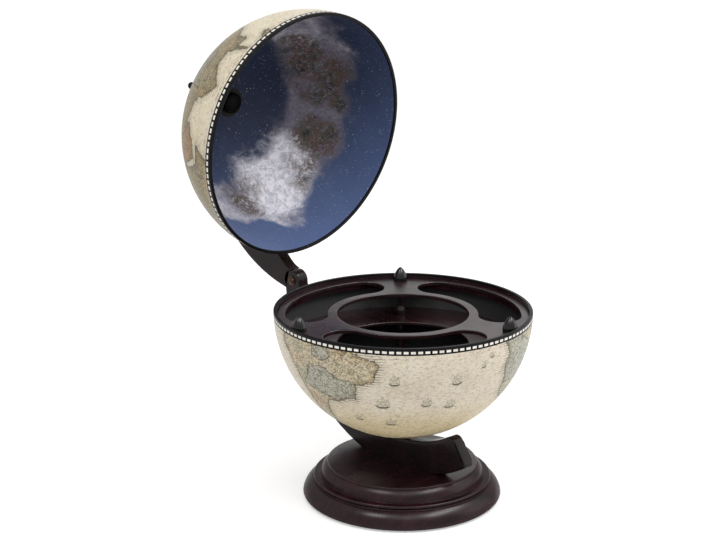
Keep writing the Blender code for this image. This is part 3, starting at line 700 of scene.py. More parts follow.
class NodeSheet:
    """Node tree of a material or the world, with short calls for the nodes that the finishes share."""

    def __init__(self, owner: Material | bpy.types.World) -> None:
        """Starts an empty node tree.

        Args:
            owner: Material or world that has the tree.
        """
        owner.use_nodes = True
        self.tree = owner.node_tree
        self.tree.nodes.clear()

    def node(self, kind: str, inputs: dict | None = None, **settings: object) -> bpy.types.Node:
        """Adds a node.

        Args:
            kind: Blender's name of the node.
            inputs: What goes into its sockets, by their names or numbers.
            **settings: Its other settings.

        Returns:
            The new node.
        """
        made = self.tree.nodes.new(kind)
        for label, value in settings.items():
            setattr(made, label, value)
        for socket, source in (inputs or {}).items():
            self.feed(made, socket, source)
        return made

    def feed(self, node: bpy.types.Node, socket: str | int, source: object) -> None:
        """Links a socket to a source, or sets it where the source is a plain value.

        Args:
            node: Node that has the socket.
            socket: Name or number of the socket.
            source: Shade, other socket or plain value.
        """
        if isinstance(source, Shade):
            source = source.socket
        if isinstance(source, Socket):
            self.tree.links.new(source, node.inputs[socket])
        else:
            node.inputs[socket].default_value = source

    def surface(self, **inputs: object) -> None:
        """Adds the surface shader and the output.

        Args:
            **inputs: What goes into the shader's sockets, with underscores for the spaces of their names.
        """
        named = {label.replace("_", " "): source for label, source in inputs.items()}
        shader = self.node("ShaderNodeBsdfPrincipled", named)
        self.node("ShaderNodeOutputMaterial", {"Surface": shader.outputs["BSDF"]})

    def step(self, operation: str, *sources: object) -> Shade:
        """A step of arithmetic on shades or numbers."""
        node = self.node("ShaderNodeMath", dict(enumerate(sources)), operation=operation)
        return Shade(self, node.outputs[0])

    def vector_step(self, operation: str, *sources: object, output: str = "Vector") -> Shade:
        """A step of arithmetic on vectors."""
        node = self.node("ShaderNodeVectorMath", dict(enumerate(sources)), operation=operation)
        return Shade(self, node.outputs[output])

    def place(self, scale: Point = (1.0, 1.0, 1.0)) -> Shade:
        """Object coordinates in metres, stretched by a scale."""
        return self.stretched(self.node("ShaderNodeTexCoord").outputs["Object"], scale)

    def stretched(self, vector: Shade | Socket, scale: Point) -> Shade:
        """A vector times a scale along each axis."""
        return self.vector_step("MULTIPLY", vector, tuple(scale))

    def dot(self, vector: Shade, direction: Point) -> Shade:
        """Dot product of a vector with a fixed direction."""
        return self.vector_step("DOT_PRODUCT", vector, tuple(direction), output="Value")

    def attribute(self, name: str) -> Shade:
        """A vector attribute of the mesh."""
        return Shade(self, self.node("ShaderNodeAttribute", attribute_name=name).outputs["Vector"])

    def parts(self, vector: Shade | Socket) -> list[Shade]:
        """The three coordinates of a vector."""
        return [Shade(self, output) for output in self.node("ShaderNodeSeparateXYZ", {0: vector}).outputs]

    def noise(self, vector: Shade, noise: Noise) -> Shade:
        """Fractal noise from 0 to 1."""
        values = {label.capitalize(): value for label, value in noise._asdict().items()}
        return Shade(self, self.node("ShaderNodeTexNoise", {"Vector": vector, **values}).outputs["Fac"])

    def warped(self, vector: Shade, scale: float, reach: float) -> Shade:
        """A vector shifted by coloured noise.

        Args:
            vector: The vector.
            scale: How fine the noise is.
            reach: Range of the shift along each axis, half of it each way.

        Returns:
            The shifted vector.
        """
        noise = self.node("ShaderNodeTexNoise", {"Vector": vector, "Scale": scale, "Detail": WARP_DETAIL})
        shift = self.vector_step("MULTIPLY_ADD", noise.outputs["Color"], (reach,) * 3, (-reach / 2,) * 3)
        return self.vector_step("ADD", vector, shift)

    def ramp(self, source: Shade, places: Point, colours: Sequence[Colour]) -> Shade:
        """Colour ramp of a value.

        Args:
            source: Value from 0 to 1.
            places: Values at which the colours are reached.
            colours: The colours, one for each place.

        Returns:
            The colour for the value.
        """
        node = self.node("ShaderNodeValToRGB", {"Fac": source})
        band = node.color_ramp
        while len(band.elements) < len(places):
            band.elements.new(1.0)
        for element, place, colour in zip(band.elements, places, colours):
            element.position = place
            element.color = (*colour, 1.0)
        return Shade(self, node.outputs["Color"])

    def blend(self, share: Shade, under: Shade | Colour, over: Shade | Colour, mode: str = "MIX") -> Shade:
        """Mix of two colours; plain colours are given as three numbers.

        Args:
            share: Share of the upper colour.
            under: Lower colour.
            over: Upper colour.
            mode: Blender's name of the way they mix.

        Returns:
            The mixed colour.
        """
        under, over = ((*colour, 1.0) if isinstance(colour, tuple) else colour for colour in (under, over))
        inputs = {MIX_SHARE: share, MIX_UNDER: under, MIX_OVER: over}
        node = self.node("ShaderNodeMix", inputs, data_type="RGBA", blend_type=mode)
        return Shade(self, node.outputs[MIX_RESULT])

    def layered(self, ground: Shade, layers: Sequence[tuple[Shade, Colour]]) -> Shade:
        """A ground with layers of paint over it.

        Args:
            ground: Colour below.
            layers: Share that each layer covers, and its colour.

        Returns:
            The colour that shows.
        """
        for share, colour in layers:
            ground = self.blend(share, ground, colour)
        return ground

    def relief(self, height: Shade, strength: float, depth: float) -> Shade:
        """Bump of a height with a strength, and a depth in metres."""
        inputs = {"Height": height, "Strength": strength, "Distance": depth}
        return Shade(self, self.node("ShaderNodeBump", inputs).outputs["Normal"])


@dataclass(frozen=True)
class Finish:
    """A finish of the object. Each kind lays out its own nodes."""

    name: str

    def material(self) -> Material:
        """Builds the finish.

        Returns:
            The new material.
        """
        material = bpy.data.materials.new(self.name)
        self.lay_out(NodeSheet(material))
        return material

    def lay_out(self, sheet: NodeSheet) -> None:
        """Adds the finish's nodes.

        Args:
            sheet: Node tree that takes them.
        """
        raise NotImplementedError


@dataclass(frozen=True)
class DarkWood(Finish):
    """Near-black mahogany under a satin lacquer, with a fine grain along one direction.

    Its shine fades where it is seen aslant, and is stronger on a flat top at the polished height.
    """

    grain: Point
    deep: Colour = (0.0060, 0.0024, 0.0030)
    middle: Colour = (0.0185, 0.0060, 0.0072)
    warm: Colour = (0.0420, 0.0125, 0.0140)
    gloss: float = 0.19
    shine: float = 0.20
    dulling: float = 0.25
    slant: Pair = (0.45, 0.95)
    polished: float = OUT_OF_REACH
    polish_depth: Pair = (0.0010, 0.0004)
    polish: float = 1.5
    wear: float = 0.10
    bend: Pair = (0.6, 0.5)
    figure: Noise = Noise(1.0, 6.0, 0.6, 0.4)
    figure_stops: Triple = (0.30, 0.52, 0.74)
    pores: Noise = Noise(6.0, 3.0, 0.5)
    pore_share: Fade = Fade(0.56, 0.72, 0.0, 0.45)
    pore_relief: Pair = (0.05, 0.0003)
    smudge: Noise = Noise(26.0, 5.0, 0.6)

    def lay_out(self, sheet: NodeSheet) -> None:
        """Adds the finish's nodes.

        Args:
            sheet: Node tree that takes them.
        """
        along = sheet.warped(sheet.place(self.grain), *self.bend)
        pores = sheet.noise(along, self.pores)
        tones = (self.deep, self.middle, self.warm)
        wood = sheet.ramp(sheet.noise(along, self.figure), self.figure_stops, tones)
        smudge = sheet.noise(sheet.place(), self.smudge)
        sheet.surface(
            Base_Color=sheet.blend(pores.fade(self.pore_share), wood, self.deep),
            Roughness=smudge.between(self.gloss, self.gloss + self.wear),
            Specular_IOR_Level=self.sheen(sheet),
            Normal=sheet.relief(pores, *self.pore_relief),
        )

    def sheen(self, sheet: NodeSheet) -> Shade:
        """Strength of the shine: dulled aslant, or rubbed up on the flat top, whichever is more.

        Args:
            sheet: Node tree that it is built in.

        Returns:
            The strength.
        """
        aslant = Shade(sheet, sheet.node("ShaderNodeLayerWeight").outputs["Facing"])
        height = sheet.parts(sheet.place())[2]
        start, end = (self.polished - depth for depth in self.polish_depth)
        rubbed = height.fade(Fade(start, end, 0.0, self.shine * self.polish))
        return rubbed.larger(aslant.fade(Fade(*self.slant, self.shine, self.shine * self.dulling)))


@dataclass(frozen=True)
class MapPaper(Finish):
    """Old map print under varnish: parchment seas, tinted lands, inked coasts and hatched shores."""

    sea_dark: Colour = (0.560, 0.495, 0.385)
    sea: Colour = (0.680, 0.610, 0.490)
    sea_light: Colour = (0.780, 0.725, 0.620)
    rose: Colour = (0.740, 0.610, 0.500)
    straw: Colour = (0.740, 0.655, 0.455)
    amber: Colour = (0.700, 0.565, 0.290)
    umber: Colour = (0.570, 0.475, 0.325)
    ink: Colour = (0.085, 0.072, 0.048)
    tan: Colour = (0.720, 0.605, 0.425)
    ochre: Colour = (0.580, 0.360, 0.170)
    olive: Colour = (0.560, 0.510, 0.325)
    grey_green: Colour = (0.500, 0.500, 0.410)

    bays: tuple[Noise, float] = (Noise(7.0, 5.0, 0.6), 6.0)
    nicks: tuple[Noise, float] = (Noise(42.0, 4.0, 0.6), 2.6)
    land_share: Fade = Fade(-0.12, 0.12)
    shore_line: Fade = Fade(0.58, 0.14, 0.0, 0.85)
    foxing: Noise = Noise(2.6, 8.0, 0.7)
    foxed_share: Fade = Fade(0.52, 0.82, 0.0, 0.25)
    fibre: Noise = Noise(160.0, 4.0, 0.6)
    fibre_relief: Pair = (0.10, 0.0004)
    roughness: Pair = (0.36, 0.50)
    shine: float = 0.20
    varnish: Pair = (0.08, 0.20)

    sea_mottle: Noise = Noise(5.0, 7.0, 0.66)
    sea_stops: Triple = (0.30, 0.50, 0.70)
    tone: Noise = Noise(46.0, 5.0, 0.62)
    rose_share: Fade = Fade(0.48, 0.62, 0.0, 0.8)
    straw_share: Fade = Fade(0.50, 0.36, 0.0, 0.6)
    straw_north: Fade = Fade(0.0, 0.2, 0.0, 0.6)
    amber_south: Fade = Fade(-0.42, -0.80, 0.0, 0.72)
    stroke_stretch: Point = (34.0, 34.0, 72.0)
    strokes: Noise = Noise(1.0, 3.0, 0.65)
    stroke_ink: Fade = Fade(0.51, 0.66, 0.0, 0.32)
    stroke_bare: Fade = Fade(0.46, 0.34, 0.0, 0.45)
    specks: Noise = Noise(105.0, 3.0, 0.6)
    speck_ink: Fade = Fade(0.52, 0.66, 0.0, 0.30)

    hatch_wobble: Noise = Noise(30.0, 2.0)
    hatch_waves: float = 300.0
    hatch_bend: float = 5.0
    hatch_line: Fade = Fade(0.0, 0.7)
    hatch_reach: Fade = Fade(-3.4, 0.6)
    hatch_fray: float = 2.0
    hatch_ink: float = 0.7

    land_mottle: Noise = Noise(20.0, 5.0, 0.65)
    bare_land: Fade = Fade(0.50, 0.66, 0.0, 0.65)
    mood: tuple[Noise, float] = (Noise(6.0, 3.0), 2.0)
    wash_stops: Point = (0.05, 0.40, 0.75, 0.98)
    realm_share: Fade = Fade(-0.15, 0.15, 0.0, 0.9)
    coast_wash: Fade = Fade(3.0, 0.2, 0.0, 0.55)
    border_line: Fade = Fade(0.60, 0.15, 0.0, 0.75)
    line_noise: Noise = Noise(1.0, 2.5, 0.5, 0.8)
    land_lines: Sequence[tuple[Point, float, float]] = (
        ((34.0, 34.0, 50.0), 0.055, 0.75), ((62.0, 62.0, 90.0), 0.060, 0.50), ((9.0, 9.0, 9.0), 0.014, 0.60))
    umber_north: Fade = Fade(0.02, 0.12, 0.0, 0.8)

    def lay_out(self, sheet: NodeSheet) -> None:
        """Adds the finish's nodes.

        Args:
            sheet: Node tree that takes them.
        """
        globe = sheet.attribute("globe")
        coast, border, tint = sheet.parts(sheet.attribute("chart"))
        ragged = self.swung(sheet, globe, self.bays) + self.swung(sheet, globe, self.nicks)
        coast = coast + ragged
        colour = sheet.blend(coast.fade(self.land_share), self.sea_colour(sheet, globe, coast),
                             self.land_colour(sheet, globe, coast, border + ragged, tint))
        colour = sheet.blend(abs(coast).fade(self.shore_line), colour, self.ink)
        foxed = sheet.noise(globe, self.foxing).fade(self.foxed_share)
        fibre = sheet.noise(globe, self.fibre)
        sheet.surface(
            Base_Color=sheet.blend(foxed, colour, self.amber, "MULTIPLY"),
            Roughness=fibre.between(*self.roughness),
            Specular_IOR_Level=self.shine,
            Coat_Weight=self.varnish[0],
            Coat_Roughness=self.varnish[1],
            Normal=sheet.relief(fibre, *self.fibre_relief),
        )

    def swung(self, sheet: NodeSheet, globe: Shade, swing: tuple[Noise, float]) -> Shade:
        """Noise that swings about 0, by up to half of its reach each way."""
        noise, reach = swing
        return (sheet.noise(globe, noise) - NOISE_MIDDLE) * reach

    def sea_colour(self, sheet: NodeSheet, globe: Shade, coast: Shade) -> Shade:
        """Mottled parchment with fine engraved strokes, hatched near coasts, straw north and amber south.

        Args:
            sheet: Node tree that it is built in.
            globe: Direction from the globe's centre.
            coast: Degrees from the coast.

        Returns:
            The sea's colour.
        """
        height = sheet.parts(globe)[2]
        tone = sheet.noise(globe, self.tone)
        strokes = sheet.noise(sheet.stretched(globe, self.stroke_stretch), self.strokes)
        tones = (self.sea_dark, self.sea, self.sea_light)
        sea = sheet.ramp(sheet.noise(globe, self.sea_mottle), self.sea_stops, tones)
        return sheet.layered(sea, (
            (tone.fade(self.rose_share), self.rose),
            (tone.fade(self.straw_share), self.straw),
            (height.fade(self.straw_north), self.straw),
            (height.fade(self.amber_south), self.amber),
            (strokes.fade(self.stroke_ink), self.ink),
            (strokes.fade(self.stroke_bare), self.sea_light),
            (sheet.noise(globe, self.specks).fade(self.speck_ink), self.ink),
            (self.hatching(sheet, globe, coast), self.ink),
        ))

    def hatching(self, sheet: NodeSheet, globe: Shade, coast: Shade) -> Shade:
        """Share of level lines off the coasts: the sine of the height and a little noise, within a reach.

        Args:
            sheet: Node tree that it is built in.
            globe: Direction from the globe's centre.
            coast: Degrees from the coast.

        Returns:
            Share from 0 to 1.
        """
        wobble = sheet.noise(globe, self.hatch_wobble)
        lines = sheet.step("SINE", sheet.parts(globe)[2] * self.hatch_waves + wobble * self.hatch_bend)
        near = (coast + wobble * self.hatch_fray).fade(self.hatch_reach)
        return lines.fade(self.hatch_line) * near * self.hatch_ink

    def land_colour(self, sheet: NodeSheet, globe: Shade, coast: Shade, border: Shade, tint: Shade) -> Shade:
        """Hand-tinted lands and realms with inked borders, hills and rivers, and a strong wash at the coast.

        Args:
            sheet: Node tree that it is built in.
            globe: Direction from the globe's centre.
            coast: Degrees from the coast.
            border: Degrees from a realm's border, positive inside the realm.
            tint: Tint of the land, from ochre (0) to olive (1).

        Returns:
            The land's colour.
        """
        tints = (self.ochre, self.tan, self.olive, self.grey_green)
        wash = sheet.ramp(tint + self.swung(sheet, globe, self.mood), self.wash_stops, tints)
        wash = sheet.blend(border.fade(self.realm_share), wash, self.grey_green)
        wash = sheet.blend(sheet.noise(globe, self.land_mottle).fade(self.bare_land), wash, self.sea)
        wash = sheet.blend(coast.fade(self.coast_wash), wash, self.olive, "MULTIPLY")
        wash = sheet.blend(abs(border).fade(self.border_line), wash, self.ink)
        for stretch, width, strength in self.land_lines:
            noise = sheet.noise(sheet.stretched(globe, stretch), self.line_noise)
            line = abs(noise - NOISE_MIDDLE).fade(Fade(width, width / 4))
            wash = sheet.blend(line * strength, wash, self.ink)
        return sheet.blend(sheet.parts(globe)[2].fade(self.umber_north), wash, self.umber, "MULTIPLY")


@dataclass(frozen=True)
class SkyPaper(Finish):
    """Print of a night sky inside the lid: a milky band across blue, with dust clouds and stars.

    The sky is navy above and lighter blue towards the lid's lower inside: partly the print, partly painted
    light for the light that falls there. The band lies where the direction from the centre, warped a little,
    keeps a set angle to the band's axis. It is brighter towards its core and its crown, is painted brighter
    towards the lid's lower inside as painted light, and ends at the lid's foot.
    """

    night: Colour = (0.020, 0.028, 0.058)
    blue: Colour = (0.120, 0.172, 0.345)
    haze: Colour = (0.205, 0.184, 0.226)
    glow: Colour = (0.930, 0.905, 0.965)
    rust: Colour = (0.108, 0.060, 0.050)
    olive: Colour = (0.076, 0.066, 0.044)
    soot: Colour = (0.017, 0.015, 0.017)
    # Near-black olive ring round the pole, just outside the cap.
    seat: Colour = (0.0120, 0.0110, 0.0070)
    star: Colour = (0.86, 0.89, 0.95)
    roughness: Pair = (0.40, 0.52)
    shine: float = 0.15

    drift: Pair = (1.8, 0.55)
    clouds: Noise = Noise(3.6, 9.0, 0.66, 0.3)
    curls: Noise = Noise(17.0, 7.0, 0.70, 1.2)
    curl_share: Fade = Fade(0.36, 0.60, 0.55, 1.0)

    # The night-to-blue gradient along this direction is partly the print and partly painted light: towards the
    # lid's lower inside, where more light falls, the sky is painted lighter.
    down: Point = (-0.03, 0.31, -0.50)
    down_puffs: float = 0.25
    blue_share: Fade = Fade(-0.55, 0.45)
    seat_edge: Fade = Fade(0.9910, 0.9922)
    star_sizes: Sequence[Triple] = ((14.0, 0.080, 0.55), (30.0, 0.130, 0.45), (60.0, 0.180, 0.40))
    star_heart: float = 0.3

    band_axis: Point = (-0.287, -0.076, 0.955)
    band_middle: float = 0.44
    band_puffs: float = 0.35
    band_edge: Fade = Fade(0.32, 0.16)
    foot: Point = (-0.20, 0.97, 0.10)
    foot_edge: Fade = Fade(0.96, 0.90)

    # Painted light: the band is painted brighter towards this side, the lid's lower inside, where more light
    # falls.
    bright_side: Point = (-0.26, 0.38, -0.34)
    bright_puffs: float = 1.6
    core: Point = (0.33, 0.61, 0.73)
    core_light: Fade = Fade(0.89, 0.99, 0.0, 1.10)
    crown: Point = (0.30, -0.76, 0.58)
    crown_light: Fade = Fade(0.80, 0.97, 0.0, 0.62)
    glow_share: Fade = Fade(-0.30, 0.75)

    dust_places: Sequence[tuple[Point, float]] = (
        ((0.50, -0.41, 0.76), 0.968), ((0.79, -0.20, 0.58), 0.972), ((0.71, 0.33, 0.62), 0.980),
        ((0.60, 0.56, 0.57), 0.991), ((-0.05, 0.73, 0.68), 0.986))
    dust_edge: Pair = (-0.025, 0.012)
    dust_puffs: float = 0.13
    dust_share: float = 0.95
    strands: Noise = Noise(8.5, 5.0, 0.62, 1.6)
    strand_width: Fade = Fade(0.095, 0.02)
    scraps: Noise = Noise(24.0, 5.0, 0.7, 1.2)
    scrap_share: Fade = Fade(0.56, 0.42)
    veil: Fade = Fade(0.0, 1.0, 0.32, 1.0)
    soil: Noise = Noise(9.0, 5.0, 0.7)
    soil_stops: Point = (0.36, 0.47, 0.58, 0.68)

    def lay_out(self, sheet: NodeSheet) -> None:
        """Adds the finish's nodes.

        Args:
            sheet: Node tree that takes them.
        """
        globe = sheet.attribute("globe")
        drift = sheet.warped(globe, *self.drift)
        puffs = sheet.noise(globe, self.clouds) - NOISE_MIDDLE
        curls = sheet.noise(globe, self.curls)
        # Partly painted light: the sky is painted lighter blue towards the lid's lower inside.
        low = sheet.dot(globe, self.down) + puffs * self.down_puffs
        sky = sheet.blend(low.fade(self.blue_share), self.night, self.blue)

        across = abs(sheet.dot(drift, self.band_axis) - self.band_middle)
        band = (across - puffs * self.band_puffs).fade(self.band_edge)
        band = band * sheet.dot(drift, self.foot).fade(self.foot_edge)
        # Partly painted light: the side term paints the band brighter towards the lid's lower inside; the core
        # and crown terms add brightness too.
        band_print_and_painted_light = (sheet.dot(globe, self.bright_side) + puffs * self.bright_puffs
               + sheet.dot(globe, self.core).fade(self.core_light)
               + sheet.dot(drift, self.crown).fade(self.crown_light))
        milk = sheet.blend(band_print_and_painted_light.fade(self.glow_share), self.haze, self.glow)
        sky = sheet.blend(band * curls.fade(self.curl_share), sky, milk)

        earths = (self.soot, self.olive, self.rust, self.soot)
        soil = sheet.ramp(sheet.noise(globe, self.soil), self.soil_stops, earths)
        sky = sheet.blend(self.dust(sheet, globe, puffs) * (band * self.dust_share), sky, soil)
        sky = sheet.layered(sky, [(self.stars(sheet, globe, *size), self.star) for size in self.star_sizes])
        sheet.surface(
            Base_Color=sheet.blend(sheet.parts(globe)[2].fade(self.seat_edge), sky, self.seat),
            Roughness=curls.between(*self.roughness),
            Specular_IOR_Level=self.shine,
        )

    def dust(self, sheet: NodeSheet, globe: Shade, puffs: Shade) -> Shade:
        """Share of dark dust: curled strands and scraps inside a few large patches.

        Args:
            sheet: Node tree that it is built in.
            globe: Direction from the globe's centre.
            puffs: Cloud noise about 0, which makes the patches' edges uneven.

        Returns:
            Share from 0 to 1.
        """
        uneven = puffs * self.dust_puffs
        inner, outer = self.dust_edge
        patches = [(sheet.dot(globe, place) + uneven).fade(Fade(edge + inner, edge + outer))
                   for place, edge in self.dust_places]
        strands = abs(sheet.noise(globe, self.strands) - NOISE_MIDDLE).fade(self.strand_width)
        scraps = sheet.noise(globe, self.scraps).fade(self.scrap_share)
        return reduce(Shade.larger, patches) * strands.larger(scraps).fade(self.veil)

    def stars(self, sheet: NodeSheet, globe: Shade, scale: float, size: float, rarity: float) -> Shade:
        """Share of starlight: round spots in some of the cells of a scale, each with its own brightness.

        Args:
            sheet: Node tree that it is built in.
            globe: Direction from the globe's centre.
            scale: How fine the cells are.
            size: Radius of a spot, as a share of a cell.
            rarity: Share of the cells that stay dark.

        Returns:
            Share from 0 to 1.
        """
        cells = sheet.node("ShaderNodeTexVoronoi", {"Vector": globe, "Scale": scale})
        lottery = sheet.parts(cells.outputs["Color"])[0]
        spot = Shade(sheet, cells.outputs["Distance"]).fade(Fade(size, size * self.star_heart))
        return spot * lottery.fade(Fade(rarity, 1.0))


@dataclass(frozen=True)
class Coat(Finish):
    """A colour that wears to another in clouds, over a fine grain where it has one."""

    colour: Colour
    worn: Colour
    roughness: Pair
    worn_share: Fade
    cloud: Noise
    shine: float = 0.5
    metallic: float = 0.0
    clear_coat: Pair = (0.0, 0.2)
    sheen: Pair = (0.0, 0.5)
    grain: Noise | None = None
    grain_stretch: Point = (1.0, 1.0, 1.0)
    relief: Pair = (0.0, 0.0)

    def lay_out(self, sheet: NodeSheet) -> None:
        """Adds the finish's nodes.

        Args:
            sheet: Node tree that takes them.
        """
        cloud = sheet.noise(sheet.place(), self.cloud)
        bump = {}
        if self.grain:
            grain = sheet.noise(sheet.place(self.grain_stretch), self.grain)
            bump["Normal"] = sheet.relief(grain, *self.relief)
        sheet.surface(
            Base_Color=sheet.blend(cloud.fade(self.worn_share), self.colour, self.worn),
            Roughness=cloud.between(*self.roughness),
            Specular_IOR_Level=self.shine,
            Metallic=self.metallic,
            Coat_Weight=self.clear_coat[0],
            Coat_Roughness=self.clear_coat[1],
            Sheen_Weight=self.sheen[0],
            Sheen_Roughness=self.sheen[1],
            **bump,
        )


@dataclass(frozen=True)
class Lacquer(Coat):
    """Black lacquer with faint cloudy wear."""

    colour: Colour = (0.0035, 0.0032, 0.0036)
    worn: Colour = (0.0080, 0.0062, 0.0064)
    roughness: Pair = (0.32, 0.44)
    worn_share: Fade = Fade(0.48, 0.75)
    cloud: Noise = Noise(45.0, 6.0, 0.62)
    shine: float = 0.10
    grain: Noise = Noise(420.0, 2.0)
    relief: Pair = (0.05, 0.0003)


@dataclass(frozen=True)
class Paint(Coat):
    """Matt paint or ink, for the dashes of the rims, the ships and the bowl's lining."""

    roughness: Pair = (0.45, 0.60)
    worn_share: Fade = Fade(0.42, 0.72)
    cloud: Noise = Noise(130.0, 5.0, 0.65)
    clear_coat: Pair = (0.15, 0.2)


@dataclass(frozen=True)
class Metal(Coat):
    """Turned metal with a cloudy patina and fine tool marks."""

    cloud: Noise = Noise(160.0, 6.0, 0.65)
    metallic: float = 1.0
    grain: Noise = Noise(1.0, 2.0)
    grain_stretch: Point = (300.0, 1500.0, 1500.0)
    relief: Pair = (0.12, 0.0002)


@dataclass(frozen=True)
class Felt(Coat):
    """Pressed wool felt with a short nap."""

    colour: Colour = (0.012, 0.042, 0.026)
    worn: Colour = (0.030, 0.080, 0.052)
    roughness: Pair = (0.95, 0.95)
    worn_share: Fade = Fade(0.35, 0.7)
    cloud: Noise = Noise(900.0, 4.0, 0.7)
    sheen: Pair = (0.4, 0.5)
    grain: Noise = Noise(900.0, 4.0, 0.7)
    relief: Pair = (0.6, 0.0006)


class Finishes:
    """The finishes of the whole object, each made once."""

    def __init__(self, polished: float) -> None:
        """Builds every finish.

        Args:
            polished: Height in metres of the turned wood's polished top.
        """
        self.turned_wood = DarkWood(
            "turned mahogany", (16.0, 90.0, 90.0), (0.0075, 0.0024, 0.0034), (0.0175, 0.0044, 0.0070),
            (0.0310, 0.0078, 0.0120), gloss=0.24, shine=0.19, slant=(0.20, 0.60), polished=polished,
        ).material()
        self.arm_wood = DarkWood(
            "board mahogany", (130.0, 26.0, 26.0), (0.0040, 0.0022, 0.0024), (0.0110, 0.0050, 0.0054),
            (0.0230, 0.0085, 0.0090), shine=0.14).material()
        self.rack_wood = DarkWood(
            "rack mahogany", (100.0, 14.0, 100.0), gloss=0.26, shine=0.45, dulling=1.0).material()
        self.lacquer = Lacquer("rim lacquer").material()
        self.peg_lacquer = Lacquer(
            "peg lacquer", (0.0035, 0.0033, 0.0036), (0.0080, 0.0072, 0.0076), (0.14, 0.26),
            shine=0.30).material()
        self.cap_lacquer = Lacquer(
            "cap lacquer", (0.0022, 0.0020, 0.0018), (0.0045, 0.0040, 0.0030), (0.40, 0.52),
            shine=0.06).material()
        self.dash = Paint("rim dashes", (0.840, 0.800, 0.740), (0.680, 0.630, 0.550)).material()
        self.lining = Paint(
            "bowl lining", (0.0032, 0.0028, 0.0028), (0.0075, 0.0058, 0.0054), (0.60, 0.75),
            clear_coat=(0.0, 0.2)).material()
        self.map_paper = MapPaper("map print").material()
        self.sky_paper = SkyPaper("night sky print").material()
        self.ship_inks = [Paint(name, ink, worn).material() for name, ink, worn in (
            ("ship hulls", (0.080, 0.072, 0.042), (0.140, 0.125, 0.075)),
            ("ship rigging", (0.330, 0.300, 0.205), (0.430, 0.385, 0.275)),
            ("ship sails", (0.640, 0.570, 0.440), (0.540, 0.475, 0.350)))]
        self.bronze = Metal(
            "aged bronze", (0.090, 0.052, 0.034), (0.024, 0.015, 0.012), (0.30, 0.50),
            Fade(0.40, 0.72, 0.0, 0.9)).material()
        self.steel = Metal(
            "plated steel", (0.560, 0.555, 0.550), (0.300, 0.290, 0.280), (0.28, 0.48),
            Fade(0.40, 0.72, 0.0, 0.5)).material()
        self.felt = Felt("green felt").material()


# Half globes


